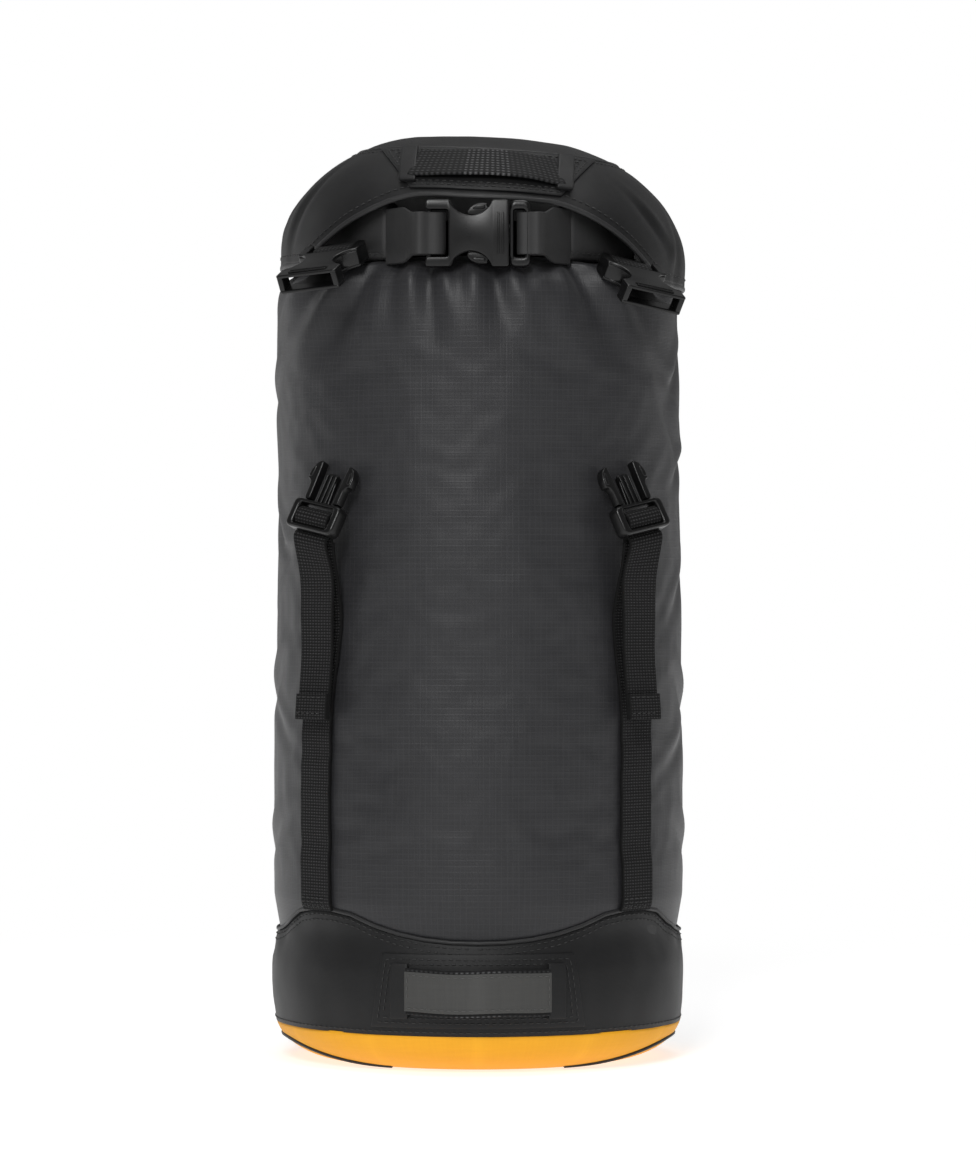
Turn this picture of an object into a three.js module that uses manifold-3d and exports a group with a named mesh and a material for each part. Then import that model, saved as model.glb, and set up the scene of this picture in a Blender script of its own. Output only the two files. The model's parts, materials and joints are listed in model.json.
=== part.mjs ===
// Compression sack: a stuffed roll-top dry bag with a base cuff, four webbing straps and a lift-off lid.
// Millimetres, +Z up, the bag's front faces -Y, origin at the centre of the flat base.
import * as THREE from "three";
import { mergeVertices } from "three/addons/utils/BufferGeometryUtils.js";
import Module from "manifold-3d";

const wasm = await Module();
wasm.setup();

// Driving dimensions
const SACK_RADIUS = 90; // filled bag, mid height
const NECK_BASE_Z = 280; // where the gathered neck starts
const COLLAR_BASE_Z = 351.6; // underside of the rolled mouth
const COLLAR_HEIGHT = 25.4;
const LID_TOP_Z = 409;
const LID_RIM_Z = 355; // where the lid's dome meets its short skirt
const LID_RADIUS = 89.5;
const LID_ROLL_DEG = 3; // the lid sits a little lower on the right
const LID_SHIFT_X = 2.1;
const WEBBING_WIDTH = 20;
const WEBBING_THICK = 1.4;
const FABRIC = 1.6; // panel thickness with its seam allowance
const GAP = 0.3; // between pieces that are sewn or pressed together
const BODY_INSET = 2.8; // the bag lies this far inside the faces of its base and cuff
const STRAP_AZIMUTHS = { front_left: -49, front_right: 49, rear_left: -131, rear_right: 131 };
const ROUND = 36; // segments round the bag

const rad = THREE.MathUtils.degToRad;
const { clamp, lerp, smoothstep } = THREE.MathUtils;

// A point at an azimuth measured from the front (-Y), positive towards +X.
const polar = (deg, radius, z) =>
  new THREE.Vector3(radius * Math.sin(rad(deg)), -radius * Math.cos(rad(deg)), z);
const outward = (deg) => polar(deg, 1, 0);

// ---------------------------------------------------------------- materials
const material = (color, roughness) => new THREE.MeshStandardMaterial({ color, roughness, metalness: 0 });
const MATERIALS = {
  bag_fabric: material(0x3c3c3e, 0.6),
  harness_fabric: material(0x323234, 0.62),
  base_fabric: material(0xf0ab22, 0.65),
  webbing: material(0x222223, 0.75),
  collar_tape: material(0x1b1b1c, 0.55),
  plastic: material(0x2a2a2b, 0.4),
  label: material(0x757573, 0.8),
};

const root = new THREE.Group();
function addMesh(name, geometry, slot, parent = root) {
  const mesh = new THREE.Mesh(geometry, MATERIALS[slot]);
  mesh.name = name;
  parent.add(mesh);
  return mesh;
}

// ---------------------------------------------------------------- solids from rings and grids
function signedVolume(points, faces) {
  let sum = 0;
  for (const [a, b, c] of faces) sum += points[a].dot(points[b].clone().cross(points[c]));
  return sum / 6;
}

function solidFrom(points, faces) {
  const inward = signedVolume(points, faces) < 0;
  const index = faces.flatMap(([a, b, c]) => (inward ? [a, c, b] : [a, b, c]));
  const geometry = new THREE.BufferGeometry().setFromPoints(points);
  geometry.setIndex(index);
  geometry.computeVertexNormals();
  return geometry;
}

// Joins equal rings of points into a skin. An open stack gets a fan at each end, a looped one joins up.
function loft(rings, looped = false) {
  const n = rings[0].length;
  const points = rings.flat();
  const faces = [];
  const last = looped ? rings.length : rings.length - 1;
  for (let k = 0; k < last; k++) {
    const next = (k + 1) % rings.length;
    for (let i = 0; i < n; i++) {
      const j = (i + 1) % n;
      faces.push([k * n + i, k * n + j, next * n + j], [k * n + i, next * n + j, next * n + i]);
    }
  }
  if (!looped) {
    for (const k of [0, rings.length - 1]) {
      const centre = points.length;
      points.push(rings[k].reduce((sum, p) => sum.add(p), new THREE.Vector3()).divideScalar(n));
      for (let i = 0; i < n; i++) {
        const [a, b] = [k * n + i, k * n + ((i + 1) % n)];
        faces.push(k === 0 ? [centre, b, a] : [centre, a, b]);
      }
    }
  }
  return solidFrom(points, faces);
}

// A ring round the Z axis: radius and height at each azimuth.
const ringAt = (place, count = ROUND) =>
  Array.from({ length: count }, (_, i) => {
    const deg = (360 * i) / count;
    const { radius, z } = place(deg);
    return polar(deg, radius, z);
  });

// A sheet of cloth with thickness: at(u, v) gives a point and a normal, and the sheet lies from low to high
// along it.
function sheet(at, nu, nv, low, high) {
  const points = [];
  const index = (side, i, j) => (side * (nu + 1) + i) * (nv + 1) + j;
  for (const lift of [low, high])
    for (let i = 0; i <= nu; i++)
      for (let j = 0; j <= nv; j++) {
        const { point, normal } = at(i / nu, j / nv);
        points.push(point.clone().addScaledVector(normal, lift));
      }
  const faces = [];
  const quad = (a, b, c, d) => faces.push([a, b, c], [a, c, d]);
  for (let i = 0; i < nu; i++)
    for (let j = 0; j < nv; j++) {
      quad(index(1, i, j), index(1, i + 1, j), index(1, i + 1, j + 1), index(1, i, j + 1));
      quad(index(0, i, j), index(0, i, j + 1), index(0, i + 1, j + 1), index(0, i + 1, j));
    }
  for (let i = 0; i < nu; i++) {
    quad(index(0, i, 0), index(0, i + 1, 0), index(1, i + 1, 0), index(1, i, 0));
    quad(index(0, i + 1, nv), index(0, i, nv), index(1, i, nv), index(1, i + 1, nv));
  }
  for (let j = 0; j < nv; j++) {
    quad(index(0, 0, j + 1), index(0, 0, j), index(1, 0, j), index(1, 0, j + 1));
    quad(index(0, nu, j), index(0, nu, j + 1), index(1, nu, j + 1), index(1, nu, j));
  }
  return solidFrom(points, faces);
}

// ---------------------------------------------------------------- booleans
function toManifold(geometry, matrix = new THREE.Matrix4()) {
  const bare = new THREE.BufferGeometry();
  bare.setAttribute("position", geometry.getAttribute("position").clone());
  if (geometry.index) bare.setIndex(geometry.index);
  bare.applyMatrix4(matrix);
  const merged = mergeVertices(bare, 1e-4);
  const vertProperties = merged.attributes.position.array;
  const triVerts = new Uint32Array(merged.index.array);
  return new wasm.Manifold(new wasm.Mesh({ numProp: 3, vertProperties, triVerts }));
}

function fromManifold(solid) {
  const mesh = solid.getMesh();
  const geometry = new THREE.BufferGeometry();
  geometry.setAttribute("position", new THREE.BufferAttribute(mesh.vertProperties, 3));
  geometry.setIndex(new THREE.BufferAttribute(mesh.triVerts, 1));
  geometry.computeVertexNormals();
  return geometry;
}

// A box given by its lowest and highest corners.
function block(low, high) {
  const size = high.map((value, k) => value - low[k]);
  const middle = high.map((value, k) => (value + low[k]) / 2);
  const box = new THREE.BoxGeometry(...size);
  return toManifold(box, new THREE.Matrix4().makeTranslation(...middle));
}

// Extrudes an outline drawn in X (width) and Z (length) through a thickness centred on Y.
function plate(shape, thickness) {
  const options = { depth: thickness, bevelEnabled: false, curveSegments: 5 };
  const geometry = new THREE.ExtrudeGeometry(shape, options);
  geometry.translate(0, 0, -thickness / 2);
  geometry.rotateX(Math.PI / 2);
  return geometry;
}

function outline(points) {
  return new THREE.Shape(points.map(([x, z]) => new THREE.Vector2(x, z)));
}

function rectangleHole(shape, x0, z0, x1, z1) {
  const hole = new THREE.Path();
  hole.moveTo(x0, z0).lineTo(x1, z0).lineTo(x1, z1).lineTo(x0, z1).closePath();
  shape.holes.push(hole);
}

// ---------------------------------------------------------------- side-release buckle, 20 mm webbing size
// Both halves share one local frame: the socket's mouth is the plane Z = 0, the plug enters along +Z,
// X is the width and Y the thickness.
const BUCKLE = {
  width: 28.6,
  socketLength: 35.8,
  socketThick: 8.5,
  plugThick: 7,
  slotWidth: 20.6, // passes the webbing
  slotDepth: 7.1,
  barZ: 34.35, // the socket's webbing bar
  barSize: 2.6,
  cavityWidth: 23,
  cavityThick: 5.6,
  cavityDepth: 22,
  biteRadius: 9.6, // finger scallops on both sides
  biteZ: 16.4,
  biteDepth: 6.7,
  prongLength: 18.5,
  prongThick: 4.4,
  prongRootX: 8.8,
  closureBase: 8.8, // flange with one slot
  closureBarZ: 7.8, // distance of the flange's webbing bar behind the mouth
  ladderBase: 13.4, // flange with the adjuster's two slots
  ladderSlots: [
    [-11.9, -7.9],
    [-5.5, -1.5],
  ],
  closureSlots: [[-6.8, -2]],
  flangeCorner: 2.5,
  plugBarHalf: 1.2, // half thickness of the plug's webbing bars
  tongue: { half: 3, halfThick: 1.7, length: 14 },
};

function socketGeometry() {
  const b = BUCKLE;
  const half = b.width / 2;
  const centreX = half + b.biteRadius - b.biteDepth;
  const reach = Math.acos((centreX - half) / b.biteRadius);
  const shape = new THREE.Shape();
  shape.moveTo(-half, 0).lineTo(half, 0);
  shape.absarc(centreX, b.biteZ, b.biteRadius, Math.PI + reach, Math.PI - reach, true);
  shape.lineTo(half, b.socketLength).lineTo(-half, b.socketLength);
  shape.absarc(-centreX, b.biteZ, b.biteRadius, reach, -reach, true);
  shape.closePath();
  const slotEnd = b.barZ - b.barSize / 2;
  rectangleHole(shape, -b.slotWidth / 2, slotEnd - b.slotDepth, b.slotWidth / 2, slotEnd);
  const cavity = block(
    [-b.cavityWidth / 2, -b.cavityThick / 2, -1],
    [b.cavityWidth / 2, b.cavityThick / 2, b.cavityDepth],
  );
  let solid = toManifold(plate(shape, b.socketThick)).subtract(cavity);
  for (const side of [-1, 1]) {
    const [near, far] = [b.barSize / 2, b.socketThick].map((y) => y * side);
    const low = [-b.slotWidth / 2, Math.min(near, far), slotEnd - 1];
    const high = [b.slotWidth / 2, Math.max(near, far), b.socketLength + 1];
    solid = solid.subtract(block(low, high)); // thins the bar between the two arms
  }
  return fromManifold(solid);
}

function plugGeometry(slots, baseLength) {
  const b = BUCKLE;
  const half = b.width / 2;
  const corner = b.flangeCorner;
  const shape = outline([
    [-half, 0],
    [-half, -baseLength + corner],
    [-half + corner, -baseLength],
    [half - corner, -baseLength],
    [half, -baseLength + corner],
    [half, 0],
  ]);
  for (const [z0, z1] of slots) rectangleHole(shape, -b.slotWidth / 2, z0, b.slotWidth / 2, z1);
  const { half: reach, halfThick, length } = b.tongue;
  const tongue = block([-reach, -halfThick, -1], [reach, halfThick, length]);
  let solid = toManifold(plate(shape, b.plugThick)).add(tongue);
  for (const side of [-1, 1]) {
    const [near, far] = [b.plugBarHalf, b.plugThick].map((y) => y * side);
    const low = [-b.slotWidth / 2, Math.min(near, far), -baseLength - 1];
    const high = [b.slotWidth / 2, Math.max(near, far), slots.at(-1)[1] - 0.6];
    solid = solid.subtract(block(low, high)); // webbing bars are thinner than the frame
  }
  return fromManifold(solid);
}

// One spring arm of the plug. side is +1 for the arm at +X and -1 for the arm at -X.
function prongGeometry(side) {
  const b = BUCKLE;
  const arm = [
    [b.prongRootX - 1.6, GAP],
    [b.prongRootX + 1.4, GAP],
    [b.prongRootX + 1.6, 8.6],
    [13.2, 9.8],
    [13.2, 13.2],
    [10.4, b.prongLength],
    [b.prongRootX - 1.2, b.prongLength],
    [b.prongRootX - 1.2, 12],
  ].map(([x, z]) => [x * side, z]);
  return plate(outline(side > 0 ? arm : arm.reverse()), b.prongThick);
}

const TAB = { eye: 2.5, steps: 8, straightFrom: 0.6 };

// A webbing loop round a buckle bar: a teardrop with a round eye, extruded across the webbing's width.
// In its own frame the eye is at the origin, the loop runs along +Z and Y is the thickness.
function tabGeometry(length, tailLift = 0) {
  const { eye, steps } = TAB;
  const wall = eye + WEBBING_THICK;
  const shape = new THREE.Shape();
  for (let i = 0; i <= steps; i++) {
    const a = Math.PI + (Math.PI * i) / steps;
    shape[i ? "lineTo" : "moveTo"](wall * Math.cos(a), wall * Math.sin(a));
  }
  shape.lineTo(tailLift + WEBBING_THICK, length * TAB.straightFrom);
  shape.lineTo(tailLift + WEBBING_THICK, length);
  shape.lineTo(tailLift - WEBBING_THICK, length);
  shape.lineTo(tailLift - WEBBING_THICK, length * TAB.straightFrom);
  shape.closePath();
  const hole = new THREE.Path();
  for (let i = 0; i < steps; i++) {
    const a = (2 * Math.PI * i) / steps;
    hole[i ? "lineTo" : "moveTo"](eye * Math.cos(a), eye * Math.sin(a));
  }
  hole.closePath();
  shape.holes.push(hole);
  const geometry = new THREE.ExtrudeGeometry(shape, { depth: WEBBING_WIDTH, bevelEnabled: false });
  // drawn as (thickness, length), extruded along the width: turn it to (width, thickness, length)
  geometry.translate(0, 0, -WEBBING_WIDTH / 2);
  geometry.applyMatrix4(
    new THREE.Matrix4().makeBasis(
      new THREE.Vector3(0, 1, 0),
      new THREE.Vector3(0, 0, 1),
      new THREE.Vector3(1, 0, 0),
    ),
  );
  return geometry;
}

// A group whose local +Z is along and whose local +Y is as near as possible to facing.
function placedFrame(origin, along, facing) {
  const z = along.clone().normalize();
  const x = facing.clone().cross(z).normalize();
  const y = z.clone().cross(x);
  const group = new THREE.Group();
  group.matrixAutoUpdate = false;
  group.matrix.makeBasis(x, y, z).setPosition(origin);
  return group;
}

// ---------------------------------------------------------------- bag body, base and neck
// Radius of the filled bag: it bulges in the cuff, is cinched at the cuff's hem and is straight above.
const SACK_KNOTS = [
  [16.5, 90.4],
  [32, 92.4],
  [46, 92],
  [57, 88.8],
  [73, 91],
  [110, 91.5],
  [200, 90],
  [300, 90],
];

function sackRadius(z) {
  for (let k = 1; k < SACK_KNOTS.length; k++) {
    const [[z0, r0], [z1, r1]] = [SACK_KNOTS[k - 1], SACK_KNOTS[k]];
    if (z <= z1) return lerp(r0, r1, smoothstep(z, z0, z1));
  }
  return SACK_RADIUS;
}

const BODY_LEVELS = { inCuff: [24, 32, 46, 57, 65, 72], above: [77, 110, 155, 200, NECK_BASE_Z] };
const BASE = { flatRadius: 61, cornerRadial: 30, cornerHeight: 20.7, top: 16.5, steps: 5 };

// The rounded corner of the base, moved inwards by inset.
function baseCorner(deg, inset) {
  const a = rad(deg);
  return {
    radius: BASE.flatRadius + (BASE.cornerRadial - inset) * Math.sin(a),
    z: inset + (BASE.cornerHeight - inset) * (1 - Math.cos(a)),
  };
}

// The corner's angle at which it reaches the top of the base panel.
const cornerEnd = (inset) =>
  THREE.MathUtils.radToDeg(Math.acos(1 - (BASE.top - inset) / (BASE.cornerHeight - inset)));

function baseProfile(inset) {
  const { steps } = BASE;
  return Array.from({ length: steps + 1 }, (_, i) => baseCorner((cornerEnd(inset) * i) / steps, inset));
}

function bagBody() {
  const rows = baseProfile(BODY_INSET);
  for (const z of BODY_LEVELS.inCuff) rows.push({ radius: sackRadius(z) - BODY_INSET, z });
  for (const z of BODY_LEVELS.above) rows.push({ radius: sackRadius(z), z });
  addMesh("bag_body", loft(rows.map((row) => ringAt(() => row))), "bag_fabric");
}

function basePanel() {
  const outer = baseProfile(0);
  const inner = baseProfile(FABRIC).reverse();
  const rows = [...outer, ...inner];
  addMesh("base_panel", loft(rows.map((row) => ringAt(() => row))), "base_fabric");
}

// Height and radius of the shoulder's rings.
const SHOULDER = [
  [NECK_BASE_Z + GAP, SACK_RADIUS],
  [320, 90],
  [336, 89.4],
  [342, 88],
  [346, 85.2],
  [349, 81],
];
const SEAT_MARGIN = 6; // the oval that the roll sits on is this much wider than its centreline

// The neck narrows from the full bag to the oval that the rolled mouth sits on.
function bagNeck() {
  const round = SHOULDER.map(([z, radius]) => ringAt(() => ({ radius, z })));
  const oval = Array.from({ length: ROUND }, (_, i) =>
    collarPoint((360 * i) / ROUND, SEAT_MARGIN, COLLAR_BASE_Z - GAP),
  );
  addMesh("bag_neck", loft([...round, oval]), "bag_fabric");
}

// ---------------------------------------------------------------- rolled mouth
const COLLAR = { halfX: 65, halfY: 56, centreY: -18, thick: 9, gapHalfX: 37, stations: 22, corners: 8 };
// The slot along the middle of the roll, and the strip that lies in it
const STIFFENER = { slotHalf: 1.9, slotMargin: 3.2, half: 0.7, halfHeight: 8 };

// A point of the collar's oval centreline, moved outwards by offset.
function collarPoint(deg, offset, z) {
  const a = rad(deg);
  return new THREE.Vector3(
    (COLLAR.halfX + offset) * Math.sin(a),
    COLLAR.centreY - (COLLAR.halfY + offset) * Math.cos(a),
    z,
  );
}

// Stations along the open oval, from the left end round the back to the right end.
function collarStations() {
  const count = COLLAR.stations;
  const start = THREE.MathUtils.radToDeg(Math.asin(COLLAR.gapHalfX / COLLAR.halfX));
  return Array.from({ length: count + 1 }, (_, i) => lerp(start, 360 - start, i / count));
}

const COLLAR_MIDDLE_Z = COLLAR_BASE_Z + COLLAR_HEIGHT / 2;

// A flattened section of the roll: half thickness across the oval, half height along Z.
function collarSection(deg, halfThick, halfHeight) {
  const { corners } = COLLAR;
  const angles = Array.from({ length: corners }, (_, k) => (2 * Math.PI * (k + 0.5)) / corners);
  const squared = (value) => Math.sign(value) * Math.sqrt(Math.abs(value));
  const widest = squared(Math.max(...angles.map(Math.sin)));
  return angles.map((a) => {
    const rise = (halfHeight * squared(Math.sin(a))) / widest;
    return collarPoint(deg, halfThick * squared(Math.cos(a)), COLLAR_MIDDLE_Z + rise);
  });
}

function rolledMouth() {
  const stations = collarStations();
  const outer = stations.map((deg) => collarSection(deg, COLLAR.thick / 2, COLLAR_HEIGHT / 2));
  const slotHeight = COLLAR_HEIGHT / 2 - STIFFENER.slotMargin;
  const inner = stations.map((deg) => collarSection(deg, STIFFENER.slotHalf, slotHeight)).reverse();
  addMesh("rolled_collar", loft([...outer, ...inner], true), "collar_tape");
  const { half, halfHeight } = STIFFENER;
  const corners = [[-half, -halfHeight], [half, -halfHeight], [half, halfHeight], [-half, halfHeight]];
  const strip = stations.map((deg) =>
    corners.map(([offset, rise]) => collarPoint(deg, offset, COLLAR_MIDDLE_Z + rise)),
  );
  addMesh("mouth_stiffener", loft(strip), "plastic");
}

const CLOSURE = {
  mouthX: 13.3,
  y: -86.8,
  z: COLLAR_MIDDLE_Z - 2.6,
  leftTab: 19,
  rightTab: 18,
  tabSlope: 0.42,
};

function closure() {
  const mouth = new THREE.Vector3(CLOSURE.mouthX, CLOSURE.y, CLOSURE.z);
  const front = new THREE.Vector3(0, -1, 0);
  const left = new THREE.Vector3(-1, 0, 0);
  const buckle = placedFrame(mouth, left, front);
  root.add(buckle);
  addMesh("closure_socket", socketGeometry(), "plastic", buckle);
  const lowered = new THREE.Group();
  lowered.position.z = -GAP;
  buckle.add(lowered);
  addMesh("closure_plug", plugGeometry(BUCKLE.closureSlots, BUCKLE.closureBase), "plastic", lowered);
  addMesh("closure_prong_lower", prongGeometry(1), "plastic", lowered);
  addMesh("closure_prong_upper", prongGeometry(-1), "plastic", lowered);

  const socketBar = new THREE.Vector3(CLOSURE.mouthX - BUCKLE.barZ, CLOSURE.y, CLOSURE.z);
  const leftTab = placedFrame(socketBar, new THREE.Vector3(-1, CLOSURE.tabSlope, 0), front);
  root.add(leftTab);
  addMesh("closure_tab_left", tabGeometry(CLOSURE.leftTab), "webbing", leftTab);
  const plugBar = new THREE.Vector3(CLOSURE.mouthX + GAP + BUCKLE.closureBarZ, CLOSURE.y, CLOSURE.z);
  const rightTab = placedFrame(plugBar, new THREE.Vector3(1, CLOSURE.tabSlope, 0), front);
  root.add(rightTab);
  addMesh("closure_tab_right", tabGeometry(CLOSURE.rightTab), "webbing", rightTab);
}

// ---------------------------------------------------------------- base cuff, its patch, handle and welt
const CUFF = {
  hemLow: 57,
  hemRise: 13,
  hemCurve: 2.2,
  bottom: BASE.top + GAP,
  tabHalfDeg: 9,
  columns: 48,
  rows: 4,
};

// The cuff's upper hem rises to each strap and dips between them.
function cuffHem(deg) {
  const around = ((deg % 360) + 360) % 360;
  const turned = around > 180 ? 360 - around : around;
  const [near, far] = [STRAP_AZIMUTHS.front_right, STRAP_AZIMUTHS.rear_right];
  const sector = turned < near ? [0, near] : turned > far ? [180, 180 - far] : [90, (far - near) / 2];
  const share = clamp(Math.abs(turned - sector[0]) / (sector[1] - CUFF.tabHalfDeg), 0, 1);
  return CUFF.hemLow + CUFF.hemRise * share ** CUFF.hemCurve;
}

function baseCuff() {
  const wall = (inset) => (share) =>
    ringAt((deg) => {
      const z = lerp(CUFF.bottom, cuffHem(deg), share);
      return { radius: sackRadius(z) - inset, z };
    }, CUFF.columns);
  const shares = Array.from({ length: CUFF.rows + 1 }, (_, i) => i / CUFF.rows);
  const rings = [...shares.map(wall(0)), ...shares.reverse().map(wall(FABRIC))];
  addMesh("base_cuff", loft(rings, true), "harness_fabric");
}

const PATCH = { halfWidth: 45, low: 20.5, high: 52, lift: 0.7, thick: 1 };
const HANDLE = { halfLength: 31, low: 26.2, arch: 6.6, standOff: 0.8 };
const LABEL = { height: 17, thick: 0.6 };

// The front of the cuff, with x across and z up.
function cuffFront(x, z) {
  const radius = sackRadius(z);
  const deg = THREE.MathUtils.radToDeg(x / radius);
  return { point: polar(deg, radius, z), normal: outward(deg) };
}

// How far a sewn loop stands off its patch, at a share from -1 to 1 of its length.
const loopLift = (share) => HANDLE.arch * (1 - share ** 2) ** 1.15;

function cuffTrim() {
  const patchAt = (u, v) =>
    cuffFront(lerp(-PATCH.halfWidth, PATCH.halfWidth, u), lerp(PATCH.low, PATCH.high, v));
  addMesh("cuff_patch", sheet(patchAt, 12, 5, PATCH.lift, PATCH.lift + PATCH.thick), "harness_fabric");
  const loopAt = (width, low) => (u, v) => {
    const share = lerp(-1, 1, u);
    const { point, normal } = cuffFront(share * HANDLE.halfLength, low + width / 2);
    return { point: point.setZ(low + width * v).addScaledVector(normal, loopLift(share)), normal };
  };
  const base = PATCH.lift + PATCH.thick + HANDLE.standOff;
  addMesh(
    "base_handle",
    sheet(loopAt(WEBBING_WIDTH, HANDLE.low), 16, 1, base, base + WEBBING_THICK),
    "webbing",
  );
  const labelBase = base + WEBBING_THICK + GAP;
  const labelLow = HANDLE.low + (WEBBING_WIDTH - LABEL.height) / 2;
  const labelAt = loopAt(LABEL.height, labelLow);
  addMesh("base_label", sheet(labelAt, 16, 1, labelBase, labelBase + LABEL.thick), "label");
}

// lowDeg and highDeg are the welt's places on the base's corner, at its front ends and along the sides.
const WELT = { tube: 1.2, frontDeg: 32, sideDeg: 86, lowDeg: 26, highDeg: 70, count: 30, sides: 6 };

// A piped seam round the base's corner; towards the front it runs under, out of sight.
function baseWelt() {
  const { tube, frontDeg, count, sides } = WELT;
  const rings = Array.from({ length: count + 1 }, (_, i) => {
    const deg = lerp(frontDeg, 360 - frontDeg, i / count);
    const fromFront = Math.min(deg, 360 - deg);
    const climb = smoothstep(fromFront, frontDeg, WELT.sideDeg);
    const corner = baseCorner(lerp(WELT.lowDeg, WELT.highDeg, climb), 0);
    const out = new THREE.Vector2(
      (corner.radius - BASE.flatRadius) / BASE.cornerRadial ** 2,
      (corner.z - BASE.cornerHeight) / BASE.cornerHeight ** 2,
    ).normalize();
    const [radius, z] = [corner.radius + out.x * (tube + GAP), corner.z + out.y * (tube + GAP)];
    return Array.from({ length: sides }, (_, k) => {
      const a = (2 * Math.PI * k) / sides;
      return polar(deg, radius + tube * Math.cos(a), z + tube * Math.sin(a));
    });
  });
  addMesh("base_welt", loft(rings), "collar_tape");
}

// ---------------------------------------------------------------- straps, adjusters and tails
const PLUG = {
  z: 233.5,
  radius: 105.1,
  leanDeg: 23,
  twist: 0.17, // how far it leans across the bag for each unit that it rises
  driftDeg: 5.5,
  driftFromZ: 140,
  strapEnd: 4.6,
};
const STRAP = { lift: 0.7, leavesZ: 188, behindPlug: 4.3, leaveCurve: 1.2, steps: 14 };

// The sign of the turn that takes a strap towards the front or back centre.
const towardsCentre = (start) => (Math.abs(start) < 90 ? -Math.sign(start) : Math.sign(start));

// A strap leans towards the front or back centre as it climbs to its adjuster.
function strapAzimuth(start, z) {
  return start + towardsCentre(start) * PLUG.driftDeg * smoothstep(z, PLUG.driftFromZ, PLUG.z);
}

function strap(corner, start) {
  const low = CUFF.hemLow + CUFF.hemRise + GAP;
  const top = PLUG.z - PLUG.strapEnd;
  const at = (u, v) => {
    const z = lerp(low, top, u);
    const deg = strapAzimuth(start, z);
    const normal = outward(deg);
    const across = new THREE.Vector3(-normal.y, normal.x, 0);
    const away = smoothstep(z, STRAP.leavesZ, PLUG.z - 2) ** STRAP.leaveCurve;
    const standOff = away * (PLUG.radius - SACK_RADIUS - STRAP.behindPlug);
    const point = polar(deg, sackRadius(z) + standOff, z).addScaledVector(across, (v - 0.5) * WEBBING_WIDTH);
    return { point, normal };
  };
  addMesh(`strap_${corner}`, sheet(at, STRAP.steps, 1, STRAP.lift, STRAP.lift + WEBBING_THICK), "webbing");
}

// The adjuster plug stands off the bag at its lower end and leans on it with its spring arms.
function adjuster(corner, start) {
  const deg = strapAzimuth(start, PLUG.z);
  const facing = outward(deg);
  const lean = rad(PLUG.leanDeg);
  const along = new THREE.Vector3(0, 0, Math.cos(lean)).addScaledVector(facing, -Math.sin(lean));
  along.addScaledVector(outward(deg + 90), towardsCentre(start) * PLUG.twist).normalize();
  const origin = polar(deg, PLUG.radius, PLUG.z).addScaledVector(along, BUCKLE.ladderBase);
  const frame = placedFrame(origin, along, facing);
  root.add(frame);
  addMesh(`plug_${corner}`, plugGeometry(BUCKLE.ladderSlots, BUCKLE.ladderBase), "plastic", frame);
  addMesh(`plug_${corner}_prong_a`, prongGeometry(-1), "plastic", frame);
  addMesh(`plug_${corner}_prong_b`, prongGeometry(1), "plastic", frame);
  tail(corner, deg, origin, along, facing);
}

// The tail's route: through the adjuster as thickness and length in the plug's own frame, then as height
// above the bag and level.
const TAIL = {
  wrap: [
    [-3.1, -14.6],
    [-3, -10],
    [-2.9, -6.3],
    [0, -2.7],
    [2.9, -6.3],
    [3, -10],
    [3.2, -14.8],
  ],
  hang: [
    [9.8, 214],
    [7.6, 196],
    [6.2, 178],
    [6.8, 162],
    [7.4, 151],
  ],
  driftDeg: 2.5,
  driftFrom: 20, // below the plug
  driftTo: 90,
  hemThick: 1.5,
};

// The free end of the strap: up through the adjuster, over its middle bar and down in front, with a turned
// hem.
function tail(corner, deg, origin, along, facing) {
  const across = faceAcross(along, facing);
  const local = (y, z) => origin.clone().addScaledVector(along, z).addScaledVector(across, y);
  const wrap = TAIL.wrap.map(([y, z]) => local(y, z));
  const drift = -towardsCentre(deg) * TAIL.driftDeg;
  const hang = TAIL.hang.map(([lift, z]) =>
    polar(deg + drift * smoothstep(PLUG.z - z, TAIL.driftFrom, TAIL.driftTo), sackRadius(z) + lift, z),
  );
  const stations = [...wrap, ...hang];
  const inPlug = along.clone().cross(facing).normalize();
  const hanging = outward(deg + 90);
  const rings = stations.map((point, i) => {
    const before = stations[Math.max(i - 1, 0)];
    const after = stations[Math.min(i + 1, stations.length - 1)];
    const direction = after.clone().sub(before).normalize();
    const sideways = i < wrap.length ? inPlug : hanging;
    const normal = direction.clone().cross(sideways).normalize();
    const hem = i === stations.length - 1 ? TAIL.hemThick : 1;
    const [w, t] = [WEBBING_WIDTH / 2, (WEBBING_THICK / 2) * hem];
    return [[-w, -t], [w, -t], [w, t], [-w, t]].map(([along, lift]) =>
      point.clone().addScaledVector(sideways, along).addScaledVector(normal, lift),
    );
  });
  addMesh(`tail_${corner}`, loft(rings), "webbing");
}

// The direction square to along that faces outwards.
function faceAcross(along, facing) {
  return facing.clone().addScaledVector(along, -facing.dot(along)).normalize();
}

// ---------------------------------------------------------------- lid
const DOME = {
  flatRadius: 24.5,
  radial: LID_RADIUS - 24.5,
  height: LID_TOP_Z - LID_RIM_Z,
  shoulder: 1.22, // above 1 the dome's corner is slacker than an ellipse
  seamDeg: 33,
  middleDeg: 16,
};
const LID_WALL = 1.8;
const LID_HEM = { side: 347.5, frontArch: 30.8, rearArch: 30.8, flatDeg: 17, endDeg: 62, curve: 1.25 };
// The tape laps each face by over; its edges are measured from the hem.
const BINDING = { over: 0.6, top: 1.4, bottom: -1.2 };

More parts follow.
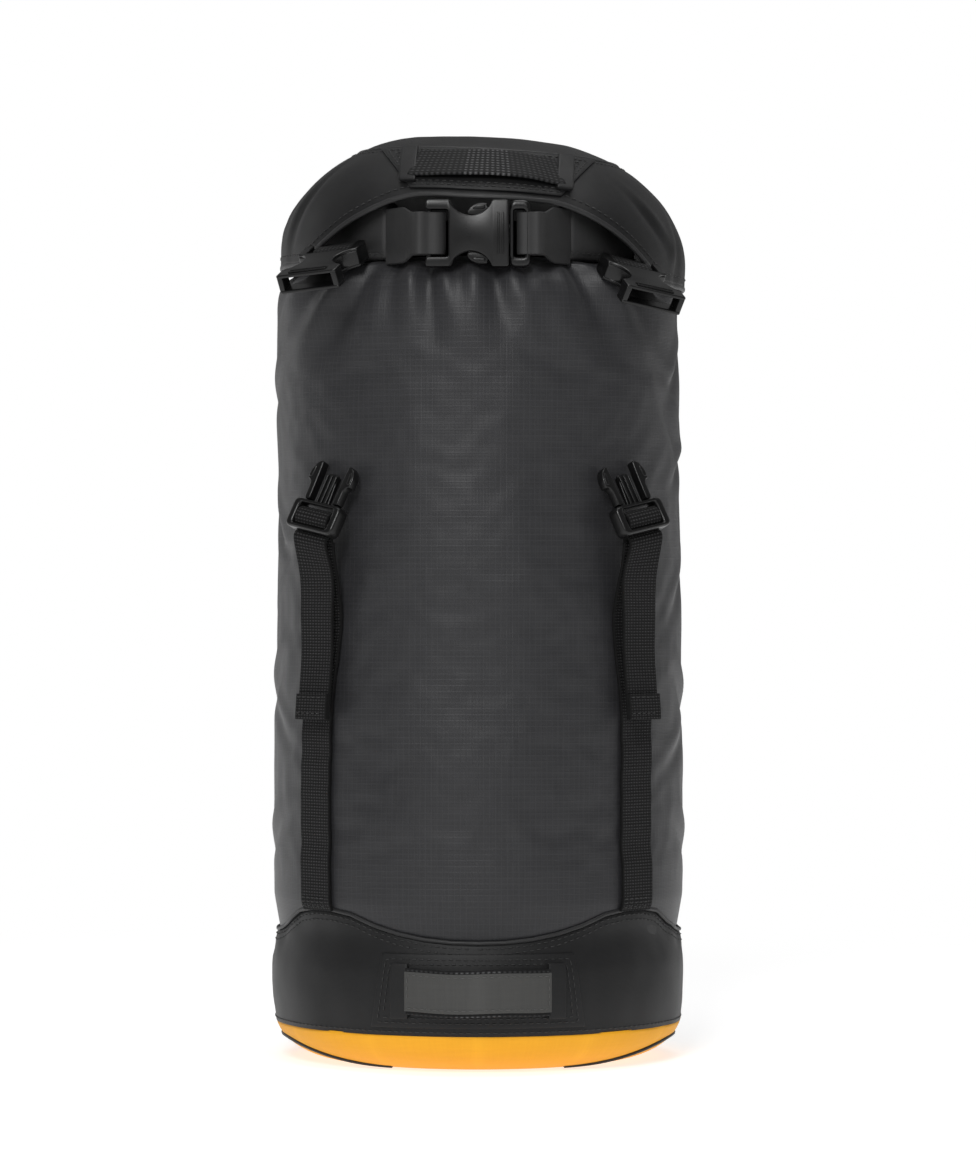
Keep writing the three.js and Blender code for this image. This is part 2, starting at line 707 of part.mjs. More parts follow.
// The lid's lower edge: an arch over the closure, a lower one at the back, and level sides.
function lidHem(deg) {
  const around = ((deg % 360) + 360) % 360;
  const turned = around > 180 ? 360 - around : around;
  const fromEnd = turned < 90 ? turned : 180 - turned;
  const arch = turned < 90 ? LID_HEM.frontArch : LID_HEM.rearArch;
  const slope = clamp((LID_HEM.endDeg - fromEnd) / (LID_HEM.endDeg - LID_HEM.flatDeg), 0, 1);
  return LID_HEM.side + arch * Math.sin((slope * Math.PI) / 2) ** LID_HEM.curve;
}

// The lid's profile: q runs in degrees over the dome's corner, then in millimetres down the skirt.
function lidProfile(q, inset) {
  const a = rad(Math.min(q, 90));
  return {
    radius: DOME.flatRadius + (DOME.radial - inset) * Math.sin(a) ** DOME.shoulder,
    z: LID_RIM_Z + (DOME.height - inset) * Math.cos(a) - Math.max(q - 90, 0),
  };
}

// The value of q at which the profile comes down to a height.
function lidDepth(z, inset) {
  if (z <= LID_RIM_Z) return 90 + LID_RIM_Z - z;
  return THREE.MathUtils.radToDeg(Math.acos((z - LID_RIM_Z) / (DOME.height - inset)));
}

function lidFront(x, z, inset) {
  const { radius } = lidProfile(lidDepth(z, inset), inset);
  const deg = THREE.MathUtils.radToDeg(Math.asin(x / radius));
  return polar(deg, radius, z);
}

// A point and outward normal on the front of the dome.
function domeFront(x, z) {
  const point = lidFront(x, z, 0);
  const across = lidFront(x + 0.5, z, 0).sub(point);
  const up = lidFront(x, z + 0.5, 0).sub(point);
  return { point, normal: across.cross(up).normalize() };
}

function lidShell(group) {
  const count = 48;
  const binding = BINDING.top + GAP + 0.1; // the shell stops this far above the hem
  const wall = (inset, share) =>
    ringAt((deg) => {
      const end = lidDepth(lidHem(deg) + binding, inset);
      return lidProfile(lerp(DOME.seamDeg, end, share), inset);
    }, count);
  const shares = [0, 0.25, 0.5, 0.75, 1];
  const side = [...shares.map((s) => wall(0, s)), ...shares.reverse().map((s) => wall(LID_WALL, s))];
  addMesh("lid_side_panel", loft(side, true), "harness_fabric", group);

  const capDegs = [0, DOME.middleDeg, DOME.seamDeg - 2 * GAP];
  const cap = (inset) => (q) => ringAt(() => lidProfile(q, inset));
  const top = [...capDegs.map(cap(0)), ...capDegs.reverse().map(cap(LID_WALL))];
  addMesh("lid_top_panel", loft(top), "harness_fabric", group);

  const hemRing = (offset, rise) =>
    ringAt((deg) => {
      const z = lidHem(deg) + rise;
      return { radius: lidProfile(lidDepth(z, 0), 0).radius + offset, z };
    }, count);
  const { over, top: high, bottom: low } = BINDING;
  const inside = -LID_WALL - over;
  const tape = [hemRing(over, high), hemRing(over, low), hemRing(inside, low), hemRing(inside, high)];
  addMesh("lid_binding", loft(tape, true), "collar_tape", group);
}

const LID_PATCH = {
  low: 382.3,
  high: 401,
  lowHalf: 32,
  highHalf: 46,
  lift: 0.6,
  thick: 0.9,
  middleZ: 392.6,
};

function lidTrim(group) {
  const patchAt = (u, v) => {
    const half = lerp(LID_PATCH.lowHalf, LID_PATCH.highHalf, v);
    return domeFront(lerp(-half, half, u), lerp(LID_PATCH.low, LID_PATCH.high, v));
  };
  const { lift, thick } = LID_PATCH;
  addMesh("lid_patch", sheet(patchAt, 12, 5, lift, lift + thick), "harness_fabric", group);
  // The grab loop keeps one facing along its width, that of the dome under its middle line.
  const { middleZ } = LID_PATCH;
  const loopAt = (u, v) => {
    const share = lerp(-1, 1, u);
    const { point, normal } = domeFront(share * HANDLE.halfLength, middleZ);
    const along = domeFront(share * HANDLE.halfLength + 0.5, middleZ).point.sub(point).normalize();
    const width = normal.clone().cross(along).normalize();
    point.addScaledVector(width, (v - 0.5) * WEBBING_WIDTH);
    return { point: point.addScaledVector(normal, loopLift(share)), normal };
  };
  const base = lift + thick + HANDLE.standOff;
  addMesh("lid_handle", sheet(loopAt, 16, 1, base, base + WEBBING_THICK), "webbing", group);
}

// Each socket hangs from a webbing loop inside the lid's hem and lies on the bag's shoulder, mouth down.
const SOCKET = {
  bar: { deg: 45.5, radius: 88.8, z: 351.7 },
  mouth: { deg: 39.3, radius: 117.6, z: 336.6 },
  faceRise: 2, // the outer face looks up this much for each unit that it looks outwards
  tab: { length: 6, lift: -1.2 },
};

function lidSocket(corner, group) {
  const start = STRAP_AZIMUTHS[corner];
  const mirror = (deg) => Math.sign(start) * (Math.abs(start) < 90 ? deg : 180 - deg);
  const place = ({ deg, radius, z }) => polar(mirror(deg), radius, z);
  const along = place(SOCKET.bar).sub(place(SOCKET.mouth)).normalize();
  const facing = outward(mirror(SOCKET.mouth.deg)).setZ(SOCKET.faceRise);
  const bar = place(SOCKET.bar);
  const loop = placedFrame(bar, along, facing);
  const frame = placedFrame(bar.clone().addScaledVector(along, -BUCKLE.barZ), along, facing);
  group.add(loop, frame);
  addMesh(`socket_${corner}`, socketGeometry(), "plastic", frame);
  addMesh(`lid_tab_${corner}`, tabGeometry(SOCKET.tab.length, SOCKET.tab.lift), "webbing", loop);
}

// ---------------------------------------------------------------- assembly
bagBody();
basePanel();
baseWelt();
baseCuff();
cuffTrim();
bagNeck();
rolledMouth();
closure();
for (const [corner, start] of Object.entries(STRAP_AZIMUTHS)) {
  strap(corner, start);
  adjuster(corner, start);
}

const lid = new THREE.Group();
lid.position.set(LID_SHIFT_X, 0, LID_RIM_Z);
lid.rotation.y = rad(LID_ROLL_DEG);
const lidFrame = new THREE.Group();
lidFrame.position.z = -LID_RIM_Z;
lid.add(lidFrame);
root.add(lid);
lidShell(lidFrame);
lidTrim(lidFrame);
for (const corner of Object.keys(STRAP_AZIMUTHS)) lidSocket(corner, lidFrame);

export default root;
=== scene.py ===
"""A stuffed compression sack: roll-top bag, base cuff, strapped buckles and a lift-off lid.

Lengths are in millimetres until a mesh is made. +Z is up and the sack's front faces -Y.
"""
import json
import math
import bmesh
import bpy
import numpy as np
from mathutils import Matrix, Vector, noise
from mathutils.bvhtree import BVHTree


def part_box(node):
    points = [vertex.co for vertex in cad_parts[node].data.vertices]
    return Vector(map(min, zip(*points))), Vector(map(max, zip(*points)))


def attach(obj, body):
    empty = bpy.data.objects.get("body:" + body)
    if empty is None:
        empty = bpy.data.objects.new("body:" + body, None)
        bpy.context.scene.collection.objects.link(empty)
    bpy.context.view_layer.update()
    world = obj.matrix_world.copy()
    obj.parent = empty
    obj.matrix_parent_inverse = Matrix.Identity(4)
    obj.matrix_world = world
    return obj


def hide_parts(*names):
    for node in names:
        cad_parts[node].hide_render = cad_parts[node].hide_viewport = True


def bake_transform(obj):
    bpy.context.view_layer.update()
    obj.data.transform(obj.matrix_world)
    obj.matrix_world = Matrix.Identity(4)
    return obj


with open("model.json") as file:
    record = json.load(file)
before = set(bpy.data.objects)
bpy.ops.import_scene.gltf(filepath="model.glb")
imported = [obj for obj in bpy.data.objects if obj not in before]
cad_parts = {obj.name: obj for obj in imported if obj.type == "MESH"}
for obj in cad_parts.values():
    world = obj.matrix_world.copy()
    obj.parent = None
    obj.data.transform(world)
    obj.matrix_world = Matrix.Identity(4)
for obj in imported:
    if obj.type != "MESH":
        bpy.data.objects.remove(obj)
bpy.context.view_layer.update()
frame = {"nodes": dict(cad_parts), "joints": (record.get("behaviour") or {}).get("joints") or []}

MM = 0.001
CORNERS = ("front_left", "front_right", "rear_left", "rear_right")
JOINTS = {joint["name"]: joint for joint in frame["joints"]}
WEBBING_WIDTH = 20
WEBBING_THICK = 1.4
ROUND = 168  # columns round the bag
UP = Vector((0, 0, 1))


# ---- small maths
def lerp(a, b, t):
    return a + (b - a) * t


def clamp(x, low=0.0, high=1.0):
    return max(low, min(high, x))


def smooth(x, low, high):
    t = clamp((x - low) / (high - low))
    return t * t * (3 - 2 * t)


def bell(x, width):
    return math.exp(-((x / width) ** 2))


def turn(a, b):
    """The signed angle from b to a, in degrees."""
    return (a - b + 180) % 360 - 180


def polar(deg, radius, z):
    """A point at an azimuth measured from the front, positive towards +X."""
    a = math.radians(deg)
    return Vector((radius * math.sin(a), -radius * math.cos(a), z))


def ripple(point, scale, seed=0.0):
    return noise.noise(Vector(point) / scale + Vector((seed, seed * 1.7, seed * 0.6)))


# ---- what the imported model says
def node_points(*names):
    """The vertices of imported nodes, in millimetres."""
    return np.array([v.co for n in names for v in frame["nodes"][n].data.vertices]) / MM


def radius_profile(*names, step=2.0):
    """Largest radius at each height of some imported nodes, as a function of height."""
    points = node_points(*names)
    radius = np.hypot(points[:, 0], points[:, 1])
    rows = np.round(points[:, 2] / step).astype(int)
    keys = np.unique(rows)
    heights = np.array([points[rows == k, 2].mean() for k in keys])
    widest = np.array([radius[rows == k].max() for k in keys])
    return lambda z: float(np.interp(z, heights, widest))


def edge_profile(name, top=True):
    """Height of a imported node's upper or lower edge, as a function of azimuth."""
    points = node_points(name)
    deg = np.degrees(np.arctan2(points[:, 0], -points[:, 1]))
    rows = np.round(deg / 7.5).astype(int) % 48
    pick = np.max if top else np.min
    edge = np.array([pick(points[rows == k, 2]) for k in range(48)])
    return lambda a: float(np.interp(a % 360, np.arange(49) * 7.5, np.append(edge, edge[0])))


def joint_at(name):
    joint = JOINTS[name]
    return Vector(joint["pos_m"]) / MM, Vector(joint["axis"]).normalized()


PRONG_ROOT = 0.3  # the spring arms start this far in front of the buckle's mouth


def plug_frame(arm_left, arm_right):
    """A plug's own frame from the hinges of its two arms: X across, Y out, Z along, origin at the mouth."""
    (left, y), (right, _) = joint_at(arm_left), joint_at(arm_right)
    x = (right - left).normalized()
    z = x.cross(y).normalized()
    origin = (left + right) / 2 - z * PRONG_ROOT
    return Matrix.Translation(origin) @ Matrix((x, y, z)).transposed().to_4x4()


SOCKET_BAR = 34.35  # the socket's webbing bar, measured from its mouth


def socket_frame(corner):
    bar, x = joint_at(f"socket_{corner}_swing")
    centre = Vector(node_points(f"socket_{corner}").mean(axis=0))
    z = bar - centre
    z = (z - x * z.dot(x)).normalized()
    y = z.cross(x)
    return Matrix.Translation(bar - z * SOCKET_BAR) @ Matrix((x, y, z)).transposed().to_4x4()


# ---- camera, light and floor
VIEW_HEIGHT = 0.212
VIEW_DISTANCE = 2.07
VIEW_WIDTH = 0.4377  # what the frame covers at the sack's axis
VIEW_SIDE = 0.0043


def make_camera():
    data = bpy.data.cameras.new("camera")
    data.sensor_fit = "HORIZONTAL"
    data.sensor_width = 36
    data.lens = data.sensor_width * VIEW_DISTANCE / VIEW_WIDTH
    data.clip_end = 20
    camera = bpy.data.objects.new("camera", data)
    camera.location = (VIEW_SIDE, -VIEW_DISTANCE, VIEW_HEIGHT)
    camera.rotation_euler = (math.radians(90), 0, 0)
    bpy.context.collection.objects.link(camera)
    bpy.context.scene.camera = camera


def area_light(name, place, aim, size, power):
    data = bpy.data.lights.new(name, "AREA")
    data.shape = "RECTANGLE"
    data.size, data.size_y = size
    data.energy = power
    light = bpy.data.objects.new(name, data)
    light.location = place
    light.rotation_euler = (Vector(aim) - Vector(place)).to_track_quat("-Z", "Y").to_euler()
    bpy.context.collection.objects.link(light)


SOFT_LIGHT = 0.19  # strength of the even light from all round
FLOOR_WHITE, FLOOR_GLOW = 0.62, 0.66  # the floor's own colour and light near the sack
BRIGHT_FROM, BRIGHT_TO = 0.30, 0.75  # metres over which the floor turns into the white surround


def make_surround():
    """Even soft light, with plain white behind everything that the camera sees."""
    world = bpy.data.worlds.new("studio")
    bpy.context.scene.world = world
    world.use_nodes = True
    tree = world.node_tree
    soft = tree.nodes["Background"]
    soft.inputs["Color"].default_value = (1, 1, 1, 1)
    soft.inputs["Strength"].default_value = SOFT_LIGHT
    white = tree.nodes.new("ShaderNodeBackground")
    white.inputs["Color"].default_value = (1, 1, 1, 1)
    choose = tree.nodes.new("ShaderNodeMixShader")
    path = tree.nodes.new("ShaderNodeLightPath")
    tree.links.new(path.outputs["Is Camera Ray"], choose.inputs["Fac"])
    tree.links.new(soft.outputs[0], choose.inputs[1])
    tree.links.new(white.outputs[0], choose.inputs[2])
    tree.links.new(choose.outputs[0], tree.nodes["World Output"].inputs["Surface"])


def floor_material():
    g = Graph("floor")
    x, y, _ = g.parts(g.position())
    away = g.math("SQRT", g.math("ADD", g.math("MULTIPLY", x, x), g.math("MULTIPLY", y, y)))
    fade = g.node("ShaderNodeMapRange", interpolation_type="SMOOTHSTEP")
    g.plug(away, fade.inputs["Value"])
    fade.inputs["From Min"].default_value = BRIGHT_FROM
    fade.inputs["From Max"].default_value = BRIGHT_TO
    far = fade.outputs["Result"]
    g.plug(g.mix(far, (FLOOR_WHITE,) * 3, (0.0,) * 3), g.shader.inputs["Base Color"])
    g.plug(g.mix(far, (FLOOR_GLOW,) * 3, (1.0,) * 3), g.shader.inputs["Emission Color"])
    g.shader.inputs["Emission Strength"].default_value = 1.0
    g.shader.inputs["Roughness"].default_value = 0.9
    g.shader.inputs["Specular IOR Level"].default_value = 0.0
    return g.material


def make_studio():
    make_surround()
    area_light("key", (-0.35, -1.9, 1.35), (0, 0, 0.24), (0.55, 0.9), 27)
    area_light("left_edge", (-0.9, 0.75, 0.35), (0, 0, 0.22), (0.3, 1.0), 1.1)
    area_light("right_edge", (0.9, 0.75, 0.35), (0, 0, 0.22), (0.3, 1.0), 0.35)
    area_light("overhead", (0.1, -0.1, 1.5), (0, 0, 0.2), (1.0, 1.0), 9)
    bpy.context.scene.view_settings.view_transform = "Standard"
    bpy.ops.mesh.primitive_plane_add(size=8, location=(0, 0, 0))
    floor = bpy.context.object
    floor.name = "floor"
    floor.data.materials.append(floor_material())


# ---- materials
class Graph:
    """Short names for the shader nodes of one material."""

    def __init__(self, name):
        self.material = bpy.data.materials.new(name)
        self.material.use_nodes = True
        self.tree = self.material.node_tree
        self.shader = self.tree.nodes["Principled BSDF"]

    def node(self, kind, **settings):
        made = self.tree.nodes.new(kind)
        for key, value in settings.items():
            setattr(made, key, value)
        return made

    def plug(self, value, socket):
        if isinstance(value, bpy.types.NodeSocket):
            self.tree.links.new(value, socket)
        else:
            socket.default_value = value

    def math(self, operation, *values):
        made = self.node("ShaderNodeMath", operation=operation)
        for value, socket in zip(values, made.inputs):
            self.plug(value, socket)
        return made.outputs[0]

    def vector(self, x, y, z):
        made = self.node("ShaderNodeCombineXYZ")
        for value, socket in zip((x, y, z), made.inputs):
            self.plug(value, socket)
        return made.outputs[0]

    def noise(self, where, scale, detail=3.0, roughness=0.5):
        made = self.node("ShaderNodeTexNoise")
        self.plug(where, made.inputs["Vector"])
        made.inputs["Scale"].default_value = scale
        made.inputs["Detail"].default_value = detail
        made.inputs["Roughness"].default_value = roughness
        return made.outputs["Fac"]

    def position(self):
        return self.node("ShaderNodeTexCoord").outputs["Object"]

    def parts(self, vector):
        made = self.node("ShaderNodeSeparateXYZ")
        self.plug(vector, made.inputs[0])
        return made.outputs

    def wrapped(self):
        """Millimetres round the sack, and millimetres up it."""
        x, y, z = self.parts(self.position())
        around = self.math("ARCTAN2", x, self.math("MULTIPLY", y, -1.0))
        return self.math("MULTIPLY", around, 90.0), self.math("MULTIPLY", z, 1000.0)

    def uv_mm(self):
        across, along, _ = self.parts(self.node("ShaderNodeUVMap", uv_map="UVMap").outputs[0])
        return self.math("MULTIPLY", across, 1000.0), self.math("MULTIPLY", along, 1000.0)

    def wave(self, value, pitch, power=1.0):
        """0 to 1 and back once every pitch."""
        angle = self.math("MULTIPLY", value, 2 * math.pi / pitch)
        half = self.math("MULTIPLY_ADD", self.math("COSINE", angle), 0.5, 0.5)
        return half if power == 1.0 else self.math("POWER", half, power)

    def mix(self, factor, dark, light):
        made = self.node("ShaderNodeMix", data_type="RGBA")
        self.plug(factor, made.inputs["Factor"])
        made.inputs[6].default_value = (*dark, 1)
        made.inputs[7].default_value = (*light, 1)
        return made.outputs[2]

    def span(self, value, low, high):
        made = self.node("ShaderNodeMapRange")
        self.plug(value, made.inputs["Value"])
        made.inputs["To Min"].default_value = low
        made.inputs["To Max"].default_value = high
        return made.outputs["Result"]

    def bump(self, height, depth_mm, strength=1.0, below=None):
        made = self.node("ShaderNodeBump")
        self.plug(height, made.inputs["Height"])
        made.inputs["Distance"].default_value = depth_mm * MM
        made.inputs["Strength"].default_value = strength
        if below is not None:
            self.plug(below, made.inputs["Normal"])
        return made.outputs["Normal"]

    def finish(self, color, roughness, normal, **sockets):
        self.plug(color, self.shader.inputs["Base Color"])
        self.plug(roughness, self.shader.inputs["Roughness"])
        self.plug(normal, self.shader.inputs["Normal"])
        for name, value in sockets.items():
            self.shader.inputs[name.replace("_", " ")].default_value = value
        return self.material


def woven_fabric(name, dark, light, pitch, grid, roughness, sheen):
    """Coated ripstop: a fine plain weave with a heavier thread each few millimetres."""
    g = Graph(name)
    around, up = g.wrapped()
    weave = g.math("MULTIPLY", g.wave(around, pitch), g.wave(up, pitch))
    rib = g.math("MAXIMUM", g.wave(around, grid, 24.0), g.wave(up, grid, 24.0))
    streaks = g.noise(g.vector(g.math("MULTIPLY", around, 1.0), g.math("MULTIPLY", up, 0.05), 0.0), 0.9, 2.0)
    threads = g.noise(g.vector(g.math("MULTIPLY", around, 0.06), up, 0.0), 0.8, 2.0)
    clouds = g.noise(g.position(), 9.0, 4.0)
    tone = g.math("MULTIPLY_ADD", g.math("ADD", streaks, threads), 0.40, g.math("MULTIPLY", clouds, 0.20))
    tone = g.math("MULTIPLY_ADD", rib, 0.30, tone)
    tone = g.math("MULTIPLY_ADD", weave, 0.14, tone)
    soft = g.bump(g.noise(g.position(), 42.0, 3.0), 0.5, 0.35)
    fine = g.bump(g.math("MULTIPLY_ADD", rib, 0.7, weave), 0.07, 0.6, soft)
    return g.finish(
        g.mix(tone, dark, light), g.span(clouds, roughness - 0.06, roughness + 0.06), fine,
        Sheen_Weight=sheen, Sheen_Roughness=0.45, Specular_IOR_Level=0.32,
    )


def webbing_material(name, dark, light, row, column, depth):
    """Open-faced webbing: rows of raised beads, coloured by their relief, with painted shade in the gaps
    between them.
    """
    g = Graph(name)
    across, along = g.uv_mm()
    beads = g.math("MULTIPLY", g.wave(along, row, 2.2), g.wave(across, column, 1.0))
    edge = g.math("LESS_THAN", g.math("ABSOLUTE", across), WEBBING_WIDTH / 2 - 1.1)
    height = g.math("MULTIPLY", beads, g.math("MULTIPLY_ADD", edge, 0.7, 0.3))
    fuzz = g.noise(g.position(), 700.0, 2.0)
    # painted shade: the colour follows the relief height, near black in the gaps between beads and darker on
    # the low edge strip
    tone = g.math("MULTIPLY_ADD", fuzz, 0.12, g.math("MULTIPLY", height, 1.0))
    normal = g.bump(height, depth, 0.9, g.bump(fuzz, 0.08, 0.3))
    return g.finish(
        g.mix(tone, dark, light), g.span(fuzz, 0.6, 0.8), normal,
        Sheen_Weight=0.02, Sheen_Roughness=0.5, Specular_IOR_Level=0.15,
    )


def moulded_plastic(name, dark, light, roughness):
    g = Graph(name)
    clouds = g.noise(g.position(), 60.0, 3.0)
    grain = g.noise(g.position(), 2600.0, 2.0)
    normal = g.bump(grain, 0.03, 0.35, g.bump(clouds, 0.15, 0.12))
    rough = g.math("MULTIPLY_ADD", grain, 0.10, g.span(clouds, roughness - 0.05, roughness + 0.05))
    return g.finish(g.mix(clouds, dark, light), rough, normal, Specular_IOR_Level=0.36)


def thread_material(name, color):
    g = Graph(name)
    twist = g.noise(g.position(), 1800.0, 1.0)
    lighter = tuple(c * 1.7 for c in color)
    return g.finish(g.mix(twist, color, lighter), g.span(twist, 0.5, 0.7), g.bump(twist, 0.1, 0.5))


# name, darkest and lightest colour, weave pitch, ripstop pitch (50 for none), roughness, sheen
CLOTHS = {
    "bag": ("bag_ripstop", (0.0110, 0.0110, 0.0120), (0.0300, 0.0300, 0.0325), 0.62, 2.5, 0.45, 0.05),
    "harness": ("harness_cloth", (0.0024, 0.0024, 0.0026), (0.0062, 0.0062, 0.0066), 0.5, 50, 0.5, 0.02),
    "base": ("base_cloth", (0.78, 0.335, 0.006), (0.90, 0.43, 0.014), 0.62, 50, 0.6, 0.02),
    "tape": ("edge_tape", (0.013, 0.013, 0.013), (0.026, 0.026, 0.0265), 0.45, 50, 0.5, 0.03),
    "binding": ("hem_binding", (0.010, 0.010, 0.0103), (0.022, 0.022, 0.0225), 0.45, 50, 0.45, 0.04),
    "label": ("woven_label", (0.040, 0.040, 0.0383), (0.066, 0.066, 0.0635), 0.55, 50, 0.75, 0.03),
}
# name, painted shade colour of the gaps and colour of the beads, row pitch, column pitch, relief
WEBBINGS = {
    "webbing": ("strap_webbing", (0.0002, 0.0002, 0.0002), (0.050, 0.050, 0.0513), 1.33, 1.8, 0.55),
    "handle": ("handle_webbing", (0.0003, 0.0003, 0.0003), (0.110, 0.110, 0.113), 2.1, 2.1, 0.7),
}


def make_materials():
    made = {key: woven_fabric(*values) for key, values in CLOTHS.items()}
    made.update({key: webbing_material(*values) for key, values in WEBBINGS.items()})
    dark, light = (0.0025, 0.0025, 0.0026), (0.0050, 0.0050, 0.0052)
    made["plastic"] = moulded_plastic("moulded_plastic", dark, light, 0.25)
    made["thread"] = thread_material("dark_thread", (0.016, 0.016, 0.016))
    made["label_thread"] = thread_material("label_thread", (0.055, 0.055, 0.053))
    return made


# ---- meshes
def new_piece(name, points, faces, material, uvs=None):
    """A smooth mesh from points in millimetres. uvs holds (across, along) in millimetres for each point."""
    mesh = bpy.data.meshes.new(name)
    mesh.from_pydata([tuple(Vector(p) * MM) for p in points], [], faces)
    if uvs is not None:
        layer = mesh.uv_layers.new(name="UVMap")
        corner = np.empty(len(mesh.loops), int)
        mesh.loops.foreach_get("vertex_index", corner)
        layer.data.foreach_set("uv", (np.array(uvs) * MM)[corner].astype(np.float32).ravel())
    tidy = bmesh.new()
    tidy.from_mesh(mesh)
    bmesh.ops.recalc_face_normals(tidy, faces=tidy.faces)
    tidy.to_mesh(mesh)
    tidy.free()
    mesh.shade_smooth()
    mesh.materials.append(PALETTE[material])
    piece = bpy.data.objects.new(name, mesh)
    bpy.context.collection.objects.link(piece)
    return piece


def settle_on(piece, body, slot, *nodes):
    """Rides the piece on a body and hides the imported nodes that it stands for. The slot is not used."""
    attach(piece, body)
    if nodes:
        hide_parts(*nodes)
    return piece


def length_of(path):
    return sum((q - p).length for p, q in zip(path, path[1:]))


def stack_faces(rows, columns, looped):
    """Quads between rows of a closed ring of columns; looped joins the last row to the first."""
    faces = []
    for k in range(rows if looped else rows - 1):
        m = (k + 1) % rows
        for i in range(columns):
            j = (i + 1) % columns
            faces.append((k * columns + i, k * columns + j, m * columns + j, m * columns + i))
    return faces


def sheet(name, at, nu, nv, low, high, material, size=(0, 0)):
    """A round-edged panel with thickness over at(u, v) -> point, normal. size scales its UVs."""
    points, uvs = [], []
    for lift in (high, low):
        for i in range(nu + 1):
            for j in range(nv + 1):
                point, normal = at(i / nu, j / nv)
                points.append(point + normal * lift)
                uvs.append(((i / nu - 0.5) * size[0], (j / nv) * size[1]))
    index = lambda side, i, j: (side * (nu + 1) + i) * (nv + 1) + j
    faces = []
    for i in range(nu):
        for j in range(nv):
            faces.append((index(0, i, j), index(0, i + 1, j), index(0, i + 1, j + 1), index(0, i, j + 1)))
            faces.append((index(1, i, j), index(1, i, j + 1), index(1, i + 1, j + 1), index(1, i + 1, j)))
    for i in range(nu):
        faces.append((index(0, i, 0), index(1, i, 0), index(1, i + 1, 0), index(0, i + 1, 0)))
        faces.append((index(0, i, nv), index(0, i + 1, nv), index(1, i + 1, nv), index(1, i, nv)))
    for j in range(nv):
        faces.append((index(0, 0, j), index(0, 0, j + 1), index(1, 0, j + 1), index(1, 0, j)))
        faces.append((index(0, nu, j), index(1, nu, j), index(1, nu, j + 1), index(0, nu, j + 1)))
    piece = new_piece(name, points, faces, material, uvs)
    bevel = piece.modifiers.new("edge", "BEVEL")
    bevel.width = min(0.35, (high - low) * 0.4) * MM
    bevel.segments = 2
    bevel.limit_method = "ANGLE"
    bevel.angle_limit = math.radians(50)
    return piece


def ribbon(name, centres, sides, material, width=WEBBING_WIDTH, thick=WEBBING_THICK, start=0.0):
    """Webbing swept along centres. sides are across its width, one vector or one for each centre."""
    n = len(centres)
    sides = sides if isinstance(sides, list) else [sides] * n
    widths = width if isinstance(width, list) else [width] * n
    points, uvs = [], []
    along = start
    for k, centre in enumerate(centres):
        before, after = centres[max(k - 1, 0)], centres[min(k + 1, n - 1)]
        along += (centre - centres[k - 1]).length if k else 0
        side = sides[k].normalized()
        normal = (after - before).normalized().cross(side).normalized()
        w, t = widths[k] / 2, thick / 2
        section = [(-w, 0), (-w + 0.35, t), (-w / 2, t), (0, t), (w / 2, t), (w - 0.35, t)]
        section += [(w, 0), (w - 0.35, -t), (w / 2, -t), (0, -t), (-w / 2, -t), (-w + 0.35, -t)]
        for across, lift in section:
            points.append(centre + side * across + normal * lift)
            uvs.append((across, along))
    count = len(section)
    faces = stack_faces(n, count, False)
    faces += [tuple(range(count)), tuple(range((n - 1) * count, n * count))]
    piece = new_piece(name, points, faces, material, uvs)
    piece.data.set_sharp_from_angle(angle=math.radians(60))
    return piece


def curve_through(points, spacing=1.6):
    """Evenly spaced points on a smooth curve through the given ones."""
    fine = []
    ends = [points[0] * 2 - points[1], *points, points[-1] * 2 - points[-2]]
    for a, b, c, d in zip(ends, ends[1:], ends[2:], ends[3:]):
        for k in range(12):
            t = k / 12
            bend, twist = 2 * a - 5 * b + 4 * c - d, 3 * b - a - 3 * c + d
            fine.append(0.5 * (2 * b + (c - a) * t + bend * t**2 + twist * t**3))
    fine.append(points[-1].copy())
    reach = np.concatenate([[0], np.cumsum([(q - p).length for p, q in zip(fine, fine[1:])])])
    count = max(3, round(reach[-1] / spacing))
    table = np.array(fine)
    at = np.linspace(0, reach[-1], count + 1)
    return [Vector([np.interp(s, reach, table[:, axis]) for axis in range(3)]) for s in at]


def tube(name, centres, outs, section, material, closed):
    """A band swept round a path. outs point away from the sack and section holds (out, up) pairs."""
    points, uvs, along = [], [], 0.0
    n = len(centres)
    for k, centre in enumerate(centres):
        along += (centre - centres[k - 1]).length if k else 0
        before = centres[k - 1] if closed or k else centre
        after = centres[(k + 1) % n] if closed or k < n - 1 else centre
        tangent = (after - before).normalized()
        up = tangent.cross(outs[k]).normalized()
        up = up if up.z >= 0 else -up
        for out, rise in section:
            points.append(centre + outs[k] * out + up * rise)
            uvs.append((out, along))
    count = len(section)
    faces = stack_faces(n, count, closed)
    if not closed:
        faces += [tuple(range(count)), tuple(range((n - 1) * count, n * count))]
    return new_piece(name, points, faces, material, uvs)


def oval_section(half_out, half_up, count=10):
    angles = [2 * math.pi * k / count for k in range(count)]
    return [(half_out * math.cos(a), half_up * math.sin(a)) for a in angles]


STITCH = 2.3
STITCH_GAP = 0.9


